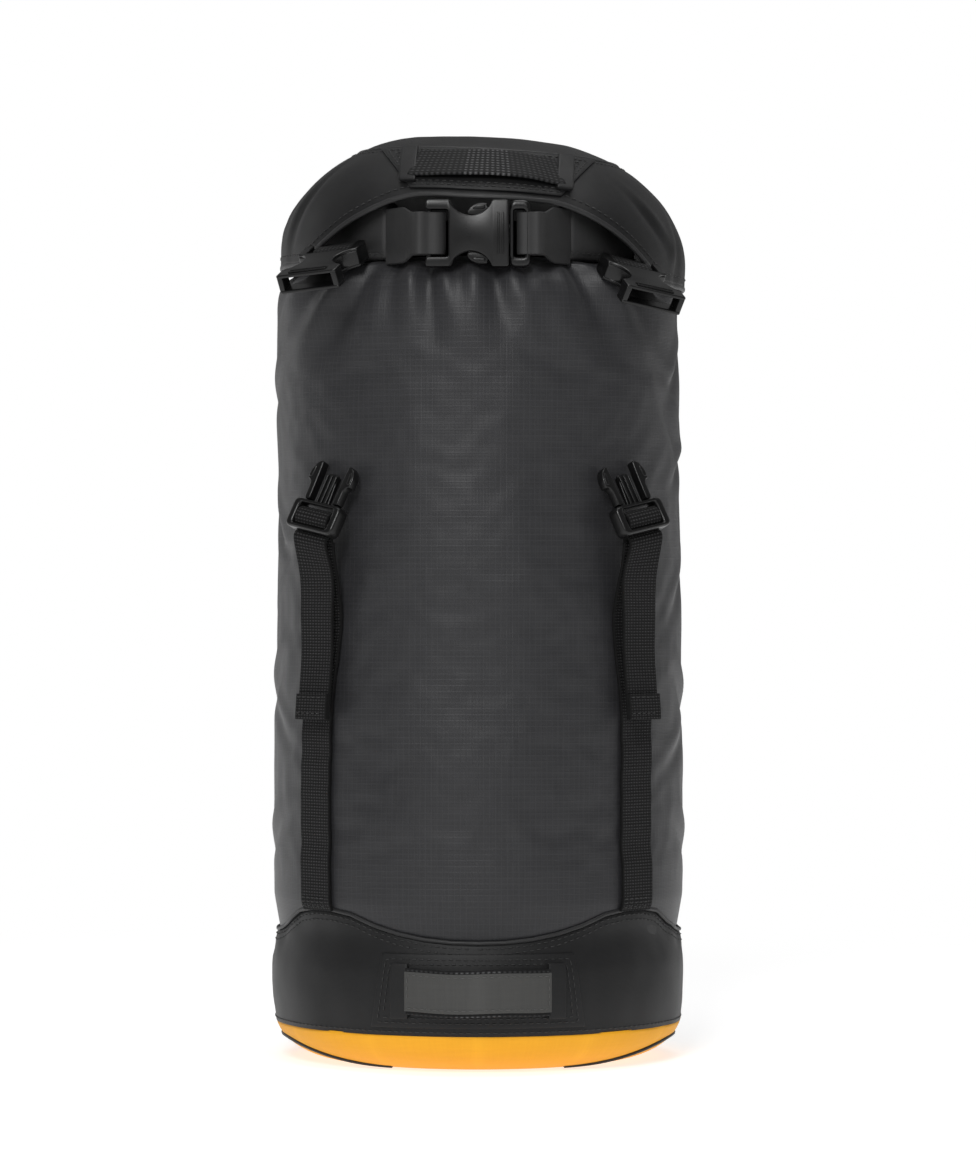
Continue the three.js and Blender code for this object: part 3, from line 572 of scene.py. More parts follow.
def sew(name, lines, body, slot, material="thread", thick=0.24):
    """Short raised threads along lines of (point, normal), riding on a body."""
    points, faces = [], []
    for line in lines:
        reach = np.concatenate([[0], np.cumsum([(b[0] - a[0]).length for a, b in zip(line, line[1:])])])
        places = np.array([p for p, _ in line])
        outs = np.array([n for _, n in line])
        at = lambda s, table: Vector([np.interp(s, reach, table[:, axis]) for axis in range(3)])
        for k in range(int(reach[-1] / (STITCH + STITCH_GAP))):
            first = k * (STITCH + STITCH_GAP)
            a, b = at(first, places), at(first + STITCH, places)
            out = at(first + STITCH / 2, outs).normalized()
            side = (b - a).cross(out).normalized()
            start = len(points)
            points.append(a - out * thick * 0.6)
            for share in (0.22, 0.78):
                middle = a.lerp(b, share) + out * thick * 0.35
                for turn_at in range(6):
                    angle = math.pi * turn_at / 3
                    points.append(middle + (side * math.cos(angle) + out * math.sin(angle)) * thick)
            points.append(b - out * thick * 0.6)
            for i in range(6):
                j = (i + 1) % 6
                faces.append((start, start + 1 + i, start + 1 + j))
                faces.append((start + 1 + i, start + 7 + i, start + 7 + j, start + 1 + j))
                faces.append((start + 13, start + 7 + j, start + 7 + i))
    return settle_on(new_piece(name, points, faces, material), body, slot)


# ---- the bag
cuff_profile = radius_profile("base_cuff", step=3.0)
cuff_hem = edge_profile("base_cuff")
# Height and radius of the filled bag, from inside the base to the shoulder
BAG_KNOTS = [
    (10, 82.0), (16.5, 88.2), (32, 90.4), (46, 90.0), (57, 88.6), (73, 91.4), (110, 91.5), (200, 90.0),
    (300, 90.0), (320, 90.0), (336, 89.4), (342, 88.0), (346, 85.4), (349, 81.5),
]
NECK_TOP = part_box("bag_neck")[1].z / MM
NECK_ROUND = 349.0  # the shoulder is round up to here and meets the roll's oval above it
COLLAR = {"half_x": 65, "half_y": 56, "centre_y": -18, "thick": 9, "gap_half_x": 37}
# Gathers under the roll: azimuth at the roll, azimuth and height where it fades out, width, depth
GATHERS = [
    (-24, -27, 318, 3.6, 8.6), (-31, -50, 302, 4.8, 9.6), (-15, -12, 308, 2.7, 6.6),
    (-6, -5, 326, 2.2, 3.2), (4, 8, 308, 2.9, 6.4), (13, 14, 330, 2.2, 3.0),
    (21, 24, 324, 2.8, 5.0), (30, 41, 303, 4.6, 10.0), (44, 54, 316, 5.0, 5.2),
    (-46, -64, 320, 5.5, 5.0), (62, 66, 326, 4.5, 3.0), (-78, -82, 326, 5.0, 3.0),
    (82, 85, 318, 5.5, 3.4), (104, 100, 326, 4.5, 3.0), (124, 128, 314, 6.0, 4.6),
    (147, 150, 328, 4.5, 3.2), (168, 166, 312, 5.5, 4.6), (190, 194, 326, 4.5, 3.2),
    (212, 208, 314, 6.0, 4.8), (236, 240, 326, 5.0, 3.4), (258, 256, 318, 5.0, 3.2),
]
# Creases: azimuth, height, tilt from level, half length, half width, depth
CREASES = [
    (80, 306, 38, 17, 4.5, 2.6), (72, 282, -46, 17, 5.0, 2.2), (84, 262, 24, 15, 4.0, 2.4),
    (70, 300, -20, 13, 3.5, 1.4), (-80, 234, -40, 16, 4.5, 2.4), (-74, 222, 34, 14, 4.0, 1.9),
    (-84, 166, 32, 16, 4.5, 2.2), (-76, 150, -30, 12, 4.0, 1.5), (84, 160, -30, 15, 4.5, 2.2),
    (76, 138, 28, 12, 4.0, 1.4), (-84, 296, 30, 15, 4.5, 1.8), (82, 208, 34, 14, 4.5, 1.7),
    (-82, 98, 26, 15, 4.5, 1.9), (83, 96, -28, 15, 4.5, 1.9), (118, 250, 32, 20, 6.0, 2.2),
    (156, 196, -34, 22, 6.0, 1.9), (200, 262, 28, 22, 6.0, 2.1), (240, 180, -36, 20, 6.0, 2.2),
    (176, 120, 24, 22, 6.0, 1.8), (222, 104, 34, 18, 5.0, 1.7),
]


def bag_profile(z):
    for (low, r_low), (high, r_high) in zip(BAG_KNOTS, BAG_KNOTS[1:]):
        if z <= high:
            return lerp(r_low, r_high, clamp((z - low) / (high - low)))
    return BAG_KNOTS[-1][1]


def under_cuff(deg, z):
    """How far the bag is held in where the cuff lies over it."""
    return 2.6 * (1 - smooth(z, cuff_hem(deg) - 5, cuff_hem(deg) + 1.5))


def gathers(deg, z):
    total = 0.0
    for top, low, fade, width, depth in GATHERS:
        t = clamp((NECK_TOP - z) / (NECK_TOP - fade))
        off = turn(deg, lerp(top, low, t))
        wide = width * (1 + 0.5 * t)
        if abs(off) > 4 * wide or t >= 1:
            continue
        grow = smooth(t, -0.12, 0.16) * (1 - t) ** 1.15
        ridges = bell(off - 1.9 * wide, wide * 0.9) + bell(off + 1.9 * wide, wide * 0.9)
        total += depth * grow * (0.5 * ridges - bell(off, wide))
    return total


def creases(deg, z, table):
    total = 0.0
    for at, height, tilt, length, width, depth in table:
        x, y = math.radians(turn(deg, at)) * 90, z - height
        if abs(x) > 3 * length or abs(y) > 3 * length:
            continue
        c, s = math.cos(math.radians(tilt)), math.sin(math.radians(tilt))
        along, across = x * c + y * s, y * c - x * s
        total += depth * bell(along, length) * (0.6 * bell(across - 1.7 * width, width) - bell(across, width))
    return total


def bag_radius(deg, z):
    slack = smooth(z, 74, 105)
    point = polar(deg, 90, z)
    soft = 1.1 * ripple(point, 62, 3.1) + 0.5 * ripple(point, 24, 8.4)
    return bag_profile(z) - under_cuff(deg, z) + gathers(deg, z) + slack * (creases(deg, z, CREASES) + soft)


def collar_point(deg, offset, z):
    a = math.radians(deg)
    x = (COLLAR["half_x"] + offset) * math.sin(a)
    y = COLLAR["centre_y"] - (COLLAR["half_y"] + offset) * math.cos(a)
    return Vector((x, y, z))


def bag_rows():
    """The bag's rings from inside the base, up the side, under the roll and over the load to its middle."""
    degs = [360 * i / ROUND for i in range(ROUND)]
    rows = []
    for z in [*np.linspace(10, 50, 10), *np.linspace(54, 84, 15), *np.linspace(88, NECK_ROUND, 74)]:
        rows.append([polar(deg, bag_radius(deg, z), z) for deg in degs])
    shoulder = rows[-1]
    for share in (0.3, 0.6, 0.85, 1.0):
        z = lerp(NECK_ROUND, NECK_TOP + 0.4, share)
        tuck = lerp(6.0, -1.5, share)
        seat = [collar_point(deg, tuck + 0.5 * gathers(deg, NECK_TOP - 4), z) for deg in degs]
        rows.append([(p + UP * (z - NECK_ROUND)).lerp(q, share) for p, q in zip(shoulder, seat)])
    edge = rows[-1]
    middle = Vector((0, COLLAR["centre_y"], NECK_TOP + 3.5))
    for share in (0.12, 0.25, 0.4, 0.55, 0.7, 0.85):
        swell = 2.2 * math.sin(share * math.pi / 2)
        rise = [swell + 0.9 * math.sin(math.radians(deg) * 11) * (1 - share) for deg in degs]
        rows.append([p.lerp(middle, share) + UP * up for p, up in zip(edge, rise)])
    return rows, middle


def press_outwards(piece, pinned, frames, pressure, cap):
    """Stuffs the piece with Blender's cloth, and keeps each point within cap of its start."""
    start = np.array([v.co for v in piece.data.vertices])
    group = piece.vertex_groups.new(name="held")
    for index, weight in pinned.items():
        group.add([index], weight, "REPLACE")
    modifier = piece.modifiers.new("fill", "CLOTH")
    cloth = modifier.settings
    cloth.quality = 4
    cloth.mass = 0.12
    cloth.tension_stiffness = cloth.compression_stiffness = 18
    cloth.shear_stiffness = 8
    cloth.bending_stiffness = 3.0
    cloth.use_pressure = True
    cloth.uniform_pressure_force = pressure
    cloth.shrink_min = -0.004
    cloth.vertex_group_mass = "held"
    cloth.effector_weights.gravity = 0
    modifier.collision_settings.use_collision = False
    modifier.point_cache.frame_end = frames
    for number in range(1, frames + 1):
        bpy.context.scene.frame_set(number)
    shown = piece.evaluated_get(bpy.context.evaluated_depsgraph_get())
    moved = np.array([v.co for v in shown.data.vertices]) - start
    reach = np.linalg.norm(moved, axis=1, keepdims=True)
    moved *= np.minimum(1, cap * MM / np.maximum(reach, 1e-9))
    piece.modifiers.remove(modifier)
    piece.vertex_groups.clear()
    bpy.context.scene.frame_set(1)
    piece.data.vertices.foreach_set("co", (start + moved).astype(np.float32).ravel())
    piece.data.update()


def make_bag():
    rows, middle = bag_rows()
    points = [p for row in rows for p in row]
    faces = stack_faces(len(rows), ROUND, False)
    faces.append(tuple(range(ROUND)))
    centre = len(points)
    points.append(middle + UP * 2.2)
    last = (len(rows) - 1) * ROUND
    faces += [(last + i, last + (i + 1) % ROUND, centre) for i in range(ROUND)]
    bag = new_piece("stuffed_bag", points, faces, "bag")
    held = {}
    for index, p in enumerate(points):
        held[index] = clamp(max(1 - smooth(p.z, 74, 92), smooth(p.z, 338, NECK_ROUND), 0.25))
    press_outwards(bag, held, 14, 2.5, 1.6)
    divide = bag.modifiers.new("smooth", "SUBSURF")
    divide.levels = divide.render_levels = 1
    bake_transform(bag)
    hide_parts("bag_body", "bag_neck")
    return bag


class BagSurface:
    """Where the finished bag's side is, for what lies on it."""

    def __init__(self, bag):
        self.tree = BVHTree.FromObject(bag, bpy.context.evaluated_depsgraph_get())

    def radius(self, deg, z):
        away = polar(deg, 1, 0)
        hit = self.tree.ray_cast((away * 200 + UP * z) * MM, -away)[0]
        return math.hypot(hit.x, hit.y) / MM if hit else bag_profile(z)


# ---- base and cuff
BASE_FLAT = 61
BASE_RADIAL = 30
BASE_HEIGHT = 20.7
CUFF_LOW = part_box("base_cuff")[0].z / MM


def base_corner(angle, inset=0.0):
    a = math.radians(angle)
    return BASE_FLAT + (BASE_RADIAL - inset) * math.sin(a), inset + (BASE_HEIGHT - inset) * (1 - math.cos(a))


def make_base():
    rows = []
    degs = [360 * i / ROUND for i in range(ROUND)]
    for radius in (8, 22, 38, 52):
        rows.append([polar(deg, radius, 0.0) for deg in degs])
    for angle in np.linspace(0, 80, 15):
        radius, z = base_corner(angle)
        puff = 0.35 * smooth(angle, 5, 40)
        rows.append([polar(deg, radius + puff * ripple(polar(deg, radius, z), 26, 2.2), z) for deg in degs])
    for angle in (80, 50, 20, 0):
        radius, z = base_corner(angle, 1.4)
        rows.append([polar(deg, radius, z) for deg in degs])
    points = [p for row in rows for p in row] + [Vector((0, 0, 0)), Vector((0, 0, 1.4))]
    faces = stack_faces(len(rows), ROUND, False)
    last, low, high = (len(rows) - 1) * ROUND, len(points) - 2, len(points) - 1
    for i in range(ROUND):
        j = (i + 1) % ROUND
        faces += [(i, j, low), (last + i, last + j, high)]
    base = new_piece("base_cloth", points, faces, "base")
    settle_on(base, "sack", "base_fabric", "base_panel")

    # The welt is turned under at the front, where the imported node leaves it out.
    low_deg = 32
    centres, outs = [], []
    for k in range(121):
        deg = lerp(low_deg, 360 - low_deg, k / 120)
        from_front = min(deg, 360 - deg)
        radius, z = base_corner(lerp(22, 62, smooth(from_front, low_deg, 80)))
        sink = 1.2 * (1 - smooth(from_front, low_deg, low_deg + 14))
        centres.append(polar(deg, radius - 0.15 - sink, max(z - 0.2, 1.2)))
        outs.append(polar(deg, 1, 0))
    welt = tube("base_piping", centres, outs, oval_section(0.95, 0.95), "tape", False)
    settle_on(welt, "sack", "collar_tape", "base_welt")


def cuff_side(z):
    """The cuff's plain radius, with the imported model's corners eased."""
    return sum(cuff_profile(z + away) for away in (-6, -3, 0, 3, 6)) / 5


def cuff_radius(deg, z):
    point = polar(deg, 90, z)
    away = min(abs(turn(deg, 0)), 180)
    soft = (0.7 * ripple(point, 30, 5.5) + 0.3 * ripple(point, 12, 1.5)) * smooth(away, 30, 50)
    pucker = 0.6 * bell(z - cuff_hem(deg) + 4, 5) * math.sin(math.radians(deg) * 26) * smooth(away, 55, 80)
    return cuff_side(z) + soft + pucker


def cuff_at(deg, z):
    """A point and outward normal on the cuff."""
    point = polar(deg, cuff_radius(deg, z), z)
    across = polar(deg + 0.6, cuff_radius(deg + 0.6, z), z) - point
    up = polar(deg, cuff_radius(deg, z + 0.6), z + 0.6) - point
    return point, across.cross(up).normalized()


def make_cuff():
    columns, levels = 240, 20
    degs = [360 * i / columns for i in range(columns)]
    rows = []
    for k in range(levels + 1):
        row = []
        for deg in degs:
            z = lerp(CUFF_LOW, cuff_hem(deg), k / levels)
            row.append(polar(deg, cuff_radius(deg, z) - 0.5 * bell(k - levels, 0.8), z))
        rows.append(row)
    for k in (levels, levels * 2 // 3, levels // 3, 0):
        heights = [lerp(CUFF_LOW, cuff_hem(deg), k / levels) for deg in degs]
        rows.append([polar(deg, cuff_side(z) - 1.3, z) for deg, z in zip(degs, heights)])
    faces = stack_faces(len(rows), columns, True)
    cuff = new_piece("foot_cuff", [p for row in rows for p in row], faces, "harness")
    settle_on(cuff, "sack", "harness_fabric", "base_cuff")

    outs = [cuff_at(deg, cuff_hem(deg) - 1)[1] for deg in degs]
    centres = [polar(deg, cuff_radius(deg, cuff_hem(deg)) + 0.15, cuff_hem(deg) - 0.2) for deg in degs]
    hem = tube("cuff_hem_fold", centres, outs, oval_section(0.7, 0.9, 8), "binding", True)
    settle_on(hem, "sack", "harness_fabric")
    lines = [[raised(cuff_at(deg, cuff_hem(deg) - drop)) for deg in [*degs, 360]] for drop in (2.6, 5.0)]
    lines.append([raised(cuff_at(deg, CUFF_LOW + 1.8)) for deg in [*degs, 360]])
    seams = sew("cuff_stitches", lines, "sack", "harness_fabric")


def raised(place, by=0.1):
    return place[0] + place[1] * by, place[1]


# ---- patches, grab loops and label
def outline_lines(at, inset_u, inset_v, lift, steps=40):
    """A rectangle of (point, normal) on at(u, v), inset from its edges."""
    u0, u1, v0, v1 = inset_u, 1 - inset_u, inset_v, 1 - inset_v
    corners = [(u0, v0), (u1, v0), (u1, v1), (u0, v1), (u0, v0)]
    line = []
    for (ua, va), (ub, vb) in zip(corners, corners[1:]):
        for k in range(steps + 1):
            point, normal = at(lerp(ua, ub, k / steps), lerp(va, vb, k / steps))
            line.append((point + normal * lift, normal))
    return line


PATCH = {"half": 45, "low": 20.5, "high": 52.0, "lift": 0.5, "thick": 0.9}
HANDLE = {"half": 31, "low": 26.2, "arch": 6.2}


def loop_lift(share):
    return HANDLE["arch"] * max(0.0, 1 - share * share) ** 1.15


def cuff_front(x, z):
    return cuff_at(math.degrees(x / cuff_profile(z)), z)


def make_cuff_trim():
    def patch_at(u, v):
        half = PATCH["half"] * lerp(1.06, 0.95, v)
        return cuff_front(lerp(-half, half, u), lerp(PATCH["low"], PATCH["high"], v))

    patch = sheet("foot_patch", patch_at, 60, 22, PATCH["lift"], PATCH["lift"] + PATCH["thick"], "harness")
    settle_on(patch, "sack", "harness_fabric", "cuff_patch")
    top = PATCH["lift"] + PATCH["thick"] + 0.1
    lines = [outline_lines(patch_at, 0.03, 0.075, top), outline_lines(patch_at, 0.055, 0.14, top)]
    sew("foot_patch_stitches", lines, "sack", "harness_fabric")

    def loop_at(width, low):
        def at(u, v):
            share = lerp(-1, 1, u)
            seat, facing = cuff_front(share * HANDLE["half"], low + width / 2)
            facing = Vector((facing.x, facing.y, 0)).normalized()
            seat = Vector((seat.x, seat.y, low + width * v + 0.25 * math.sin(share * 5)))
            return seat + facing * loop_lift(share), facing
        return at

    base = top + 0.4
    web_at = loop_at(WEBBING_WIDTH, HANDLE["low"])
    web = sheet("foot_grab_loop", web_at, 60, 8, base, base + WEBBING_THICK, "handle", (62, 20))
    settle_on(web, "sack", "webbing", "base_handle")
    label_at = loop_at(17, HANDLE["low"] + 1.5)
    label_base = base + WEBBING_THICK + 0.15
    label = sheet("blank_label", label_at, 60, 10, label_base, label_base + 0.55, "label", (62, 17))
    settle_on(label, "sack", "label", "base_label")
    line = outline_lines(label_at, 0.022, 0.085, label_base + 0.62)
    sew("label_stitches", [line], "sack", "label", "label_thread", 0.2)
    for side, tag in ((-1, "left"), (1, "right")):
        def cover_at(u, v, side=side):
            x = side * lerp(HANDLE["half"] - 1.2, HANDLE["half"] + 6.5, u)
            return cuff_front(x, lerp(HANDLE["low"] - 1.4, HANDLE["low"] + WEBBING_WIDTH + 1.4, v))
        cover = sheet(f"foot_loop_cover_{tag}", cover_at, 8, 16, top, base + WEBBING_THICK + 0.5, "harness")
        settle_on(cover, "sack", "harness_fabric")


# ---- the roll and its closure
def make_roll():
    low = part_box("rolled_collar")[0].z / MM
    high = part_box("rolled_collar")[1].z / MM
    middle, half = (low + high) / 2, (high - low) / 2
    start = math.degrees(math.asin(COLLAR["gap_half_x"] / COLLAR["half_x"]))
    count, corners = 110, 40
    points, uvs = [], []
    for k in range(count + 1):
        deg = lerp(start, 360 - start, k / count)
        for i in range(corners):
            a = 2 * math.pi * i / corners
            c, s = math.cos(a), math.sin(a)
            out = math.copysign(abs(c) ** 0.6, c) * COLLAR["thick"] / 2
            rise = math.copysign(abs(s) ** 0.5, s) * (half - 0.2)
            groove = 0.55 * bell(((out / 2.2) % 1.0) - 0.5, 0.16) * smooth(abs(s), 0.8, 0.98)
            wave = 0.35 * ripple((deg * 1.2, rise, 0), 14, 4.4)
            points.append(collar_point(deg, out + wave, middle + rise - math.copysign(groove, s)))
            uvs.append((out, deg))
    faces = stack_faces(count + 1, corners, False)
    faces += [tuple(range(corners)), tuple(range(count * corners, (count + 1) * corners))]
    roll = new_piece("rolled_mouth", points, faces, "tape", uvs)
    settle_on(roll, "crown", "collar_tape", "rolled_collar", "mouth_stiffener")
    lines = []
    for rise in (-half + 3.2, half - 3.2):
        line = []
        for k in range(161):
            deg = lerp(start, 360 - start, k / 160)
            out = collar_point(deg, 1, 0) - collar_point(deg, 0, 0)
            line.append((collar_point(deg, COLLAR["thick"] / 2 + 0.25, middle + rise), out.normalized()))
        lines.append(line)
    sew("roll_stitches", lines, "crown", "collar_tape")


def closure_tab(name, side, bar, reach, node):
    """A tab from the roll's end round a buckle bar: wide where sewn, narrower in the buckle's slot."""
    z = bar.z
    end_x = COLLAR["gap_half_x"] + 2.5
    end_deg = math.degrees(math.asin(COLLAR["gap_half_x"] / COLLAR["half_x"]))
    rail = lambda offset: Vector((side * end_x, collar_point(end_deg, offset, z).y, z))
    route = [rail(COLLAR["thick"] / 2 + 0.6)]
    turns = [(10, 6.5), (5.5, -3.3), (0, -2.7), (-reach * 0.6, -2.4), (-reach, -0.4), (-reach * 0.6, 1.6)]
    turns += [(0, 2.7), (6, 3.4), (11, 10.5)]
    route += [Vector((bar.x + side * out, bar.y + back, z)) for out, back in turns]
    route.append(rail(COLLAR["thick"] / 2 - 3.2))
    path = curve_through(route, 1.0)
    widths = [lerp(18.4, 24.2, smooth(abs(p.x - bar.x), 6.5, 11.5)) for p in path]
    tab = ribbon(name, path, UP, "tape", widths, 1.3)
    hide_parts(node)
    length_of(path)
    return tab


# ---- buckles
BUCKLE = {"half": 14.3, "length": 35.8, "shell": 1.5, "thick": 8.5, "slot_half": 10.3, "slot_low": 26.0}
SHARP_PLASTIC = 32  # edges of moulded parts that turn more than this many degrees stay sharp
BITE = {"radius": 9.6, "z": 16.4, "depth": 6.7}


def rounded(points, radius, steps=5):
    """The closed outline with each corner rounded, as far as its sides allow."""
    made = []
    n = len(points)
    for k in range(n):
        before, corner, after = (Vector(points[(k + s) % n]) for s in (-1, 0, 1))
        reach = min(radius, (before - corner).length * 0.45, (after - corner).length * 0.45)
        a = corner + (before - corner).normalized() * reach
        b = corner + (after - corner).normalized() * reach
        for i in range(steps + 1):
            t = i / steps
            made.append((1 - t) ** 2 * a + 2 * t * (1 - t) * corner + t**2 * b)
    return made


def bite_arc(side, upwards):
    """The finger scallop on one side of a socket."""
    radius = BITE["radius"]
    centre = BUCKLE["half"] + radius - BITE["depth"]
    reach = math.acos((centre - BUCKLE["half"]) / radius)
    angles = np.linspace(-reach, reach, 17) * (1 if upwards else -1)
    return [(side * (centre - radius * math.cos(a)), BITE["z"] + radius * math.sin(a)) for a in angles]


def plate(made, outer, thick, bevel=0.5, holes=(), y=0.0):
    """Adds an extruded outline with rounded edges to a bmesh, drawn in X (across) and Z (along)."""
    curve = bpy.data.curves.new("plate", "CURVE")
    curve.dimensions = "2D"
    curve.fill_mode = "BOTH"
    curve.extrude = thick / 2 - bevel
    curve.bevel_depth = bevel
    curve.bevel_resolution = 2
    curve.offset = -bevel
    for outline in (outer, *holes):
        spline = curve.splines.new("POLY")
        spline.points.add(len(outline) - 1)
        for point, (x, z) in zip(spline.points, outline):
            point.co = (x, z, 0, 1)
        spline.use_cyclic_u = True
    holder = bpy.data.objects.new("plate", curve)
    mesh = holder.to_mesh()
    mesh.transform(Matrix(((1, 0, 0, 0), (0, 0, -1, y), (0, 1, 0, 0), (0, 0, 0, 1))))
    made.from_mesh(mesh)
    holder.to_mesh_clear()
    bpy.data.objects.remove(holder)
    bpy.data.curves.remove(curve)


def box_outline(x0, z0, x1, z1, radius=0.8):
    return rounded([(x0, z0), (x1, z0), (x1, z1), (x0, z1)], radius, 4)


def hardware(name, made, place, dome=0.0):
    """Finishes a buckle part: domes its faces a little, merges it and puts it in its frame."""
    bmesh.ops.remove_doubles(made, verts=made.verts, dist=0.01)
    for v in made.verts:
        v.co.y *= 1 + dome * (1 - (v.co.x / BUCKLE["half"]) ** 2)
    bmesh.ops.transform(made, matrix=Matrix.Scale(MM, 4) @ place, verts=made.verts)
    bmesh.ops.recalc_face_normals(made, faces=made.faces)
    mesh = bpy.data.meshes.new(name)
    made.to_mesh(mesh)
    made.free()
    mesh.shade_smooth()
    mesh.set_sharp_from_angle(angle=math.radians(SHARP_PLASTIC))
    mesh.materials.append(PALETTE["plastic"])
    piece = bpy.data.objects.new(name, mesh)
    bpy.context.collection.objects.link(piece)
    return piece


def socket_body(name, place):
    b = BUCKLE
    half, length, inner = b["half"], b["length"], b["slot_half"]
    made = bmesh.new()
    shell = [(-half, 0), (half, 0), *bite_arc(1, True), (half, length), (inner, length)]
    shell += [(inner, b["slot_low"]), (-inner, b["slot_low"]), (-inner, length), (-half, length)]
    shell += bite_arc(-1, False)
    for side in (-1, 1):
        plate(made, rounded(shell, 1.3, 3), b["shell"], 0.55, y=side * (b["thick"] - b["shell"]) / 2)
    middle = b["thick"] - 2 * b["shell"] + 0.6
    rear = [(-half + 0.15, 25.0), (-7.5, 22.0), (7.5, 22.0), (half - 0.15, 25.0), (half - 0.15, length - 0.1)]
    rear += [(inner + 0.1, length - 0.1), (inner + 0.1, b["slot_low"]), (-inner - 0.1, b["slot_low"])]
    rear += [(-inner - 0.1, length - 0.1), (-half + 0.15, length - 0.1)]
    plate(made, rounded(rear, 0.8, 3), middle, 0.3)
    for side in (-1, 1):
        low, high = sorted((side * 11.6, side * (half - 0.15)))
        plate(made, box_outline(low, 0.2, high, 7.4), middle, 0.3)
    plate(made, box_outline(-inner - 1, SOCKET_BAR - 1.3, inner + 1, SOCKET_BAR + 1.3, 1.2), 2.4, 1.0)
    for z in (2.6, 4.6):
        for side in (-1, 1):
            plate(made, box_outline(-9, z - 0.45, 9, z + 0.45, 0.4), 0.7, 0.3, y=side * (b["thick"] / 2))
    return hardware(name, made, place, 0.10)


def plug_body(name, place, length, bars):
    """The plug's flange with its webbing bars, and the ribbed tongue between its arms."""
    half, inner = BUCKLE["half"], BUCKLE["slot_half"]
    made = bmesh.new()
    outer = rounded([(-half, 0), (-half, -length), (half, -length), (half, 0)], 3.2, 7)
    lowest = min(low for low, _ in bars)
    window = box_outline(-inner, lowest + 2.0 if len(bars) > 1 else lowest + 2.2, inner, -1.7, 1.2)
    plate(made, outer, 6.6, 1.3, holes=(list(reversed(window)),))
    for low, high in bars[1:]:
        plate(made, box_outline(-inner - 1, low, inner + 1, high, 1.0), 2.6, 1.0)
    plate(made, rounded([(-4.2, -1.5), (4.2, -1.5), (3.0, 14), (-3.0, 14)], 1.4, 4), 1.6, 0.5)
    for x in (-2.6, 0, 2.6):
        plate(made, box_outline(x - 0.5, -1.0, x + 0.5, 13, 0.4), 3.4, 0.4)
    return hardware(name, made, place, 0.08)


def prong_arm(name, side, place):
    root = 8.8
    arm = [(root - 1.7, PRONG_ROOT), (root + 1.5, PRONG_ROOT), (root + 1.6, 7.6), (root + 2.6, 9.0)]
    arm += [(13.0, 9.6), (13.2, 13.4), (11.6, 17.0), (9.4, 18.5), (root - 1.0, 18.3), (root - 1.4, 12)]
    arm += [(root - 1.6, 6)]
    made = bmesh.new()
    outline = rounded([(x * side, z) for x, z in arm], 1.5, 4)
    plate(made, outline, 4.3, 0.7)
    grip = [(10.6, 10.4), (12.6, 10.4), (12.6, 13.4), (11.0, 16.2), (10.2, 15.5)]
    plate(made, rounded([(x * side, z) for x, z in grip], 0.8, 3), 5.0, 0.5)
    return hardware(name, made, place)


def make_closure():
    place = plug_frame("closure_prong_upper_flex", "closure_prong_lower_flex")
    along = place.to_3x3() @ UP
    mouth = Matrix.Translation(along * PRONG_ROOT) @ place
    settle_on(socket_body("closure_buckle_socket", mouth), "crown", "plastic", "closure_socket")
    plug = plug_body("closure_buckle_plug", place, 8.8, [(-8.8, -6.8)])
    settle_on(plug, "closure_plug", "plastic", "closure_plug")
    for node, side in (("closure_prong_lower", 1), ("closure_prong_upper", -1)):
        settle_on(prong_arm(f"{node}_arm", side, place), node, "plastic", node)
    left_bar = mouth @ Vector((0, 0, SOCKET_BAR))
    right_bar = place @ Vector((0, 0, -7.8))
    left = closure_tab("closure_tab_web_left", -1, left_bar, 6.6, "closure_tab_left")
    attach(left, "crown")
    right = closure_tab("closure_tab_web_right", 1, right_bar, 4.2, "closure_tab_right")
    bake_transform(right)


# ---- straps, plugs and tails
PLUG_LENGTH = 13.4
TAIL_SIDE = 69.7  # how far the tails hang from the sack's middle plane


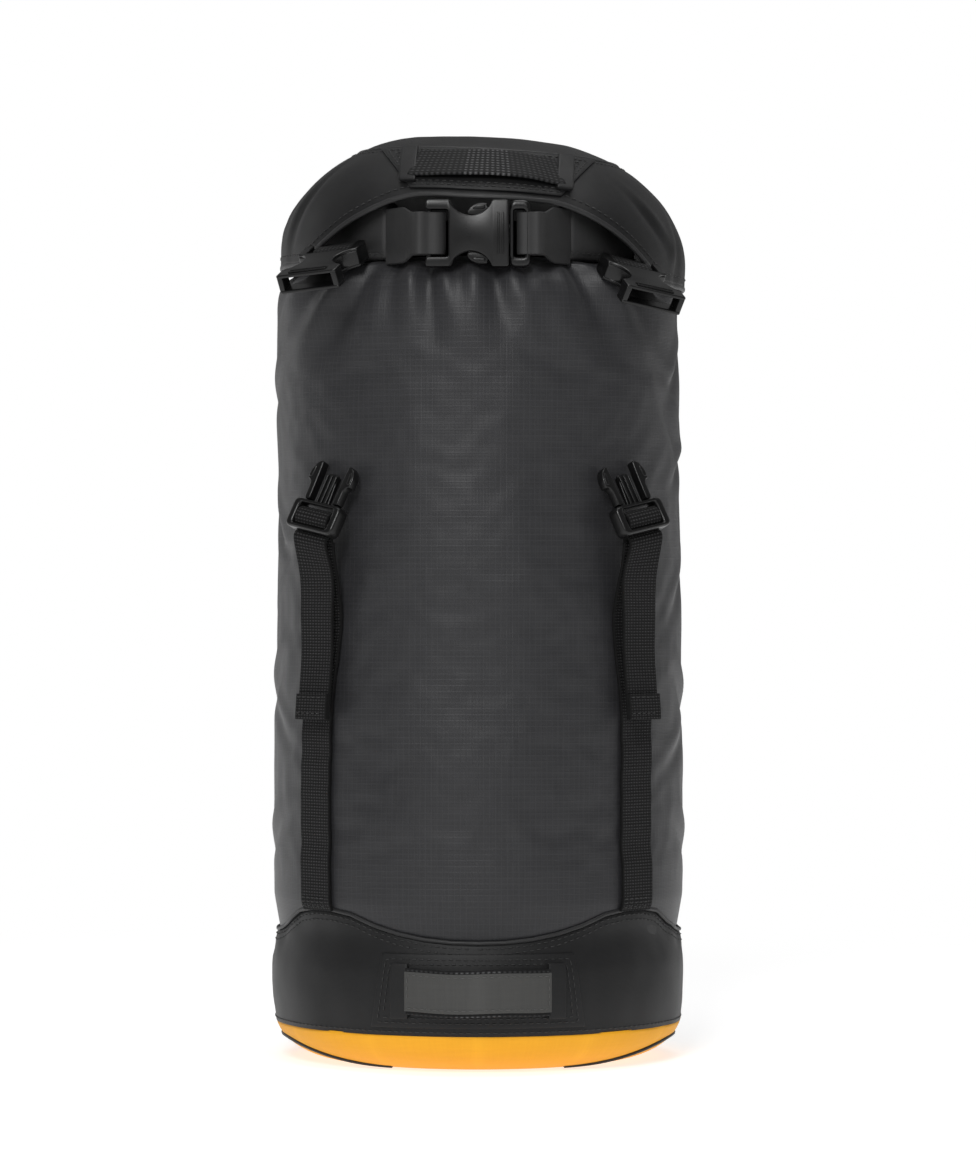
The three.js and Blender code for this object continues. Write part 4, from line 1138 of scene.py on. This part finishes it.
def make_strap(corner, surface):
    body = f"plug_{corner}"
    place = plug_frame(f"{body}_prong_a_flex", f"{body}_prong_b_flex")
    low_box, high_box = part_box(f"strap_{corner}")
    points = node_points(f"strap_{corner}")
    foot = Vector(points[points[:, 2] < points[:, 2].min() + 6].mean(axis=0))
    start_deg = math.degrees(math.atan2(foot.x, -foot.y))
    seat = place @ Vector((0, 0, -PLUG_LENGTH))
    end_deg = math.degrees(math.atan2(seat.x, -seat.y))
    foot_z, top_z = low_box.z / MM - 1.0, high_box.z / MM

    centres, sides = [], []
    stand_off = math.hypot(seat.x, seat.y) - bag_profile(seat.z) - 4.8
    for z in np.linspace(foot_z, top_z, 74):
        deg = start_deg + turn(end_deg, start_deg) * smooth(z, 140, seat.z)
        lift = 1.2 + stand_off * smooth(z, 186, seat.z - 2) ** 1.2
        centres.append(polar(deg, surface.radius(deg, z) + lift, z))
        sides.append(polar(deg + 90, 1, 0))
    plug_side = place.to_3x3() @ Vector((1, 0, 0))
    if plug_side.dot(sides[-1]) < 0:
        plug_side = -plug_side
    under = [place @ Vector((0, y, z)) for y, z in ((-3.9, -13.2), (-3.3, -9.5), (-3.0, -6.4))]
    inside = curve_through([centres[-1], *under], 1.2)
    centres += inside[1:]
    sides += [plug_side] * (len(inside) - 1)
    strap = ribbon(f"strap_web_{corner}", centres, sides, "webbing")
    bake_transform(strap)
    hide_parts(f"strap_{corner}")
    length_of(centres)

    tack = []
    for rise in (1.6, 3.4, 5.2):
        deg = start_deg
        radius = surface.radius(deg, foot_z + rise) + 2.0
        middle = polar(deg, radius, foot_z + rise)
        side = polar(deg + 90, 1, 0)
        tack.append([(middle + side * s, polar(deg, 1, 0)) for s in np.linspace(-9, 9, 12)])
    sew(f"strap_tack_{corner}", tack, "sack", "webbing")

    plug = plug_body(f"ladder_plug_{corner}", place, PLUG_LENGTH, [(-13.4, -11.6), (-7.9, -5.5)])
    settle_on(plug, body, "plastic", body)
    for tag, side in (("a", -1), ("b", 1)):
        node = f"{body}_prong_{tag}"
        settle_on(prong_arm(f"ladder_arm_{corner}_{tag}", side, place), node, "plastic", node)
    make_tail(corner, body, place, plug_side, surface)


def make_tail(corner, body, place, plug_side, surface):
    """The free end: over the middle bar, down the front, behind the end bar and loose to its turned hem."""
    at = lambda y, z: place @ Vector((0, y, z))
    wrap = [at(-3.0, -6.4), at(-1.9, -3.9), at(0.3, -3.4), at(2.5, -5.0), at(2.9, -7.8), at(1.2, -10.6)]
    wrap.append(at(-1.9, -13.0))
    seat = at(0, -PLUG_LENGTH)
    deg = math.degrees(math.atan2(seat.x, -seat.y))
    end_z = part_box(f"tail_{corner}")[0].z / MM
    wrap.append(at(-1.9, -16.8))
    for share, lift in ((0.2, 12.6), (0.42, 8.6), (0.62, 6.6), (0.8, 6.4), (0.94, 7.2), (1.0, 7.9)):
        z = lerp(seat.z - 4, end_z + 1.5, share)
        radius = surface.radius(deg, z) + lift
        lean = math.degrees(math.asin(lerp(TAIL_SIDE, TAIL_SIDE + 1.6, smooth(share, 0.6, 1.0)) / radius))
        wrap.append(polar(math.copysign(lean if abs(deg) < 90 else 180 - lean, deg), radius, z))
    path = curve_through(wrap, 1.4)
    last = len(path) - 1
    sides = []
    for k, point in enumerate(path):
        round_deg = math.degrees(math.atan2(point.x, -point.y))
        hang = polar(round_deg + 90, 1, 0)
        hang = hang if hang.dot(plug_side) > 0 else -hang
        sides.append(plug_side.lerp(hang, smooth(k / last, 0.18, 0.4)).normalized())
    tail = ribbon(f"tail_web_{corner}", path, sides, "webbing")
    settle_on(tail, body, "webbing", f"tail_{corner}")
    # The turned hem: a second layer over the last stretch, sewn across
    hem = path[-9:]
    outs = [polar(math.degrees(math.atan2(p.x, -p.y)), 1, 0) for p in hem]
    raised_hem = [p + o * WEBBING_THICK for p, o in zip(hem, outs)]
    layer = ribbon(f"tail_hem_{corner}", raised_hem, sides[-9:], "webbing", 20.2)
    settle_on(layer, body, "webbing")
    seams = []
    for k in (1, 6):
        middle, out, side = hem[k] + outs[k] * WEBBING_THICK * 1.6, outs[k], sides[last - 8 + k]
        seams.append([(middle + side * s, out) for s in np.linspace(-9, 9, 12)])
    sewing = sew(f"tail_stitches_{corner}", seams, body, "webbing")
    length_of(path)


# ---- the lid
LID_RIM = 355.0
LID_FLAT = 28.7
LID_RADIAL = 62.0
LID_HEIGHT = 54.3
LID_SHOULDER = 1.22  # above 1 the dome's corner is slacker than an ellipse
LID_SEAM = 33
LID_WALL = 1.3
LID_TILT = Matrix.Rotation(math.radians(3), 4, "Y")
LID_PLACE = Matrix.Translation((2.1, 0, LID_RIM)) @ LID_TILT @ Matrix.Translation((0, 0, -LID_RIM))
LID_CREASES = [
    (-68, 372, 82, 20, 3.2, 1.4), (58, 374, -48, 16, 3.4, 1.5), (74, 362, 70, 15, 3.6, 1.4),
    (-84, 366, 70, 14, 3.6, 1.2), (110, 372, 60, 18, 4.5, 1.4), (150, 378, -50, 18, 4.5, 1.3),
    (205, 376, 48, 18, 4.5, 1.3), (248, 370, -62, 18, 4.5, 1.5),
]


def lid_hem(deg):
    """The lid's edge: an arch at the front and back, and level sides."""
    turned = abs(turn(deg, 0))
    from_end = turned if turned < 90 else 180 - turned
    slope = clamp((62 - from_end) / (62 - 17))
    return 347.5 + 30.8 * math.sin(slope * math.pi / 2) ** 1.25


def lid_local(deg, q, inset=0.0):
    """A point of the upright lid: q is degrees over the dome, then millimetres down the skirt."""
    a = math.radians(min(q, 90))
    radius = LID_FLAT + (LID_RADIAL - inset) * math.sin(a) ** LID_SHOULDER
    z = LID_RIM + (LID_HEIGHT - inset) * math.cos(a) - max(q - 90, 0)
    if q < 1e-6:
        radius = 0.01
    elif q < 12:
        radius *= q / 12 * (2 - q / 12)
    point = polar(deg, radius, z)
    puff = 0.9 * ripple(point, 34, 6.2) + 0.35 * ripple(point, 14, 2.9)
    fold = creases(deg, z, LID_CREASES)
    hold = 1 - bell(q - LID_SEAM, 4)
    out = hold * (puff * min(1, q / 30) + fold) * math.sin(a)
    return polar(deg, radius + out, z + hold * puff * math.cos(a) * 0.7)


def lid_depth(z):
    if z <= LID_RIM:
        return 90 + LID_RIM - z
    return math.degrees(math.acos(clamp((z - LID_RIM) / LID_HEIGHT, -1, 1)))


def lid_at(deg, q, inset=0.0):
    """A point and outward normal on the lid, where the lid is."""
    point = lid_local(deg, q, inset)
    across = lid_local(deg + 0.8, q, inset) - point
    down = lid_local(deg, q + 0.8, inset) - point
    normal = down.cross(across).normalized()
    a = math.radians(min(q, 90))
    out = Vector((point.x, point.y, 0)).normalized() * math.sin(a) + UP * math.cos(a)
    normal = normal if normal.dot(out) > 0 else -normal
    return LID_PLACE @ point, LID_PLACE.to_3x3() @ normal


def dome_front(x, z):
    q = lid_depth(z)
    a = math.radians(min(q, 90))
    radius = LID_FLAT + LID_RADIAL * math.sin(a) ** LID_SHOULDER
    return lid_at(math.degrees(math.asin(clamp(x / radius, -1, 1))), q)


def make_lid():
    columns, levels = 220, 34
    degs = [360 * i / columns for i in range(columns)]
    ends = [lid_depth(lid_hem(deg)) for deg in degs]
    rows = []
    for k, inset in [(k, 0.0) for k in range(levels + 1)] + [(k, LID_WALL) for k in range(levels, -1, -2)]:
        share = k / levels
        rows.append([lid_at(deg, lerp(LID_SEAM, end, share), inset)[0] for deg, end in zip(degs, ends)])
    points = [p for row in rows for p in row]
    side = new_piece("lid_side_cloth", points, stack_faces(len(rows), columns, True), "harness")
    settle_on(side, "lid", "harness_fabric", "lid_side_panel")

    rows = [[lid_at(deg, q)[0] for deg in degs] for q in (1.5, 4, 8, 12, 16, 20, 24, 27, 29.5, 31, 32, 32.6)]
    rows += [[lid_at(deg, q, LID_WALL)[0] for deg in degs] for q in (32.6, 24, 16, 8, 1.5)]
    points = [p for row in rows for p in row]
    faces = stack_faces(len(rows), columns, False)
    points += [sum(rows[0], Vector()) / columns, sum(rows[-1], Vector()) / columns]
    last = (len(rows) - 1) * columns
    for i in range(columns):
        j = (i + 1) % columns
        faces += [(i, j, len(points) - 2), (last + i, last + j, len(points) - 1)]
    top = new_piece("lid_top_cloth", points, faces, "harness")
    settle_on(top, "lid", "harness_fabric", "lid_top_panel")

    seam = [lid_at(deg, LID_SEAM - 0.2) for deg in degs]
    centres, outs = [p + n * 0.1 for p, n in seam], [n for _, n in seam]
    cord = tube("lid_seam", centres, outs, oval_section(0.55, 0.8, 8), "binding", True)
    settle_on(cord, "lid", "harness_fabric")
    hem = [lid_at(deg, end) for deg, end in zip(degs, ends)]
    centres, outs = [p - n * LID_WALL / 2 for p, n in hem], [n for _, n in hem]
    tape = tube("lid_hem_tape", centres, outs, oval_section(0.95, 1.3, 12), "binding", True)
    settle_on(tape, "lid", "collar_tape", "lid_binding")
    lines = [[raised(lid_at(deg, LID_SEAM + 3.0)) for deg in [*degs, 360]]]
    lines.append([raised(lid_at(deg, lid_depth(lid_hem(deg) + 4.2))) for deg in [*degs, 360]])
    sew("lid_stitches", lines, "lid", "harness_fabric")


LID_PATCH = {"low": 380.3, "high": 399.6, "low_half": 32.5, "high_half": 47.0, "thick": 0.9}
LID_HANDLE_Z = 390.4
LID_HANDLE_WIDTH = 17.5


def make_lid_trim():
    def patch_at(u, v):
        half = lerp(LID_PATCH["low_half"], LID_PATCH["high_half"], v)
        return dome_front(lerp(-half, half, u), lerp(LID_PATCH["low"], LID_PATCH["high"], v))

    thick = LID_PATCH["thick"]
    patch = sheet("lid_front_patch", patch_at, 60, 20, 0.25, 0.25 + thick, "harness")
    settle_on(patch, "lid", "harness_fabric", "lid_patch")
    top = 0.35 + thick
    lines = [outline_lines(patch_at, 0.028, 0.08, top), outline_lines(patch_at, 0.055, 0.155, top)]
    sew("lid_patch_stitches", lines, "lid", "harness_fabric")

    def loop_at(u, v):
        share = lerp(-1, 1, u)
        point, normal = dome_front(share * HANDLE["half"], LID_HANDLE_Z)
        along = (dome_front(share * HANDLE["half"] + 0.6, LID_HANDLE_Z)[0] - point).normalized()
        width = normal.cross(along).normalized()
        sag = 0.4 * math.sin(share * 4 + 0.6)
        return point + width * ((v - 0.5) * LID_HANDLE_WIDTH + sag) + normal * loop_lift(share) * 0.25, normal

    base = top + 0.3
    web = sheet("lid_grab_handle", loop_at, 60, 10, base, base + WEBBING_THICK, "handle", (62, 20))
    settle_on(web, "lid", "webbing", "lid_handle")
    for side, tag in ((-1, "left"), (1, "right")):
        def cover_at(u, v, side=side):
            x = side * lerp(HANDLE["half"] - 1.0, HANDLE["half"] + 6.0, u)
            return dome_front(x, lerp(LID_PATCH["low"] + 2.2, LID_PATCH["high"] - 1.0, v))
        outer = base + WEBBING_THICK + 0.2
        cover = sheet(f"lid_handle_cover_{tag}", cover_at, 8, 16, top - 0.1, outer, "harness")
        settle_on(cover, "lid", "harness_fabric")


def make_lid_socket(corner):
    place = socket_frame(corner)
    body = f"socket_{corner}"
    settle_on(socket_body(f"lid_buckle_{corner}", place), body, "plastic", body)
    x = place.to_3x3() @ Vector((1, 0, 0))
    at = lambda y, z: place @ Vector((0, y, z))
    bar = SOCKET_BAR
    route = [at(0.9, bar + 8), at(1.6, bar + 4.5), at(2.5, bar + 1.4), at(2.6, bar - 2), at(1.6, bar - 5.2)]
    turns = [(-0.4, -6.4), (-2.2, -4.6), (-2.8, -1), (-2.6, 3), (-1.0, 8)]
    route += [at(out, bar + up) for out, up in turns]
    path = curve_through(route, 1.0)
    tab = ribbon(f"lid_tab_web_{corner}", path, x, "webbing", 19.6, 1.3)
    settle_on(tab, "lid", "webbing", f"lid_tab_{corner}")
    length_of(path)


# ---- assembly
make_camera()
make_studio()
PALETTE = make_materials()
bag = make_bag()
bag_surface = BagSurface(bag)
make_base()
make_cuff()
make_cuff_trim()
make_roll()
make_closure()
for corner_name in CORNERS:
    make_strap(corner_name, bag_surface)
make_lid()
make_lid_trim()
for corner_name in CORNERS:
    make_lid_socket(corner_name)
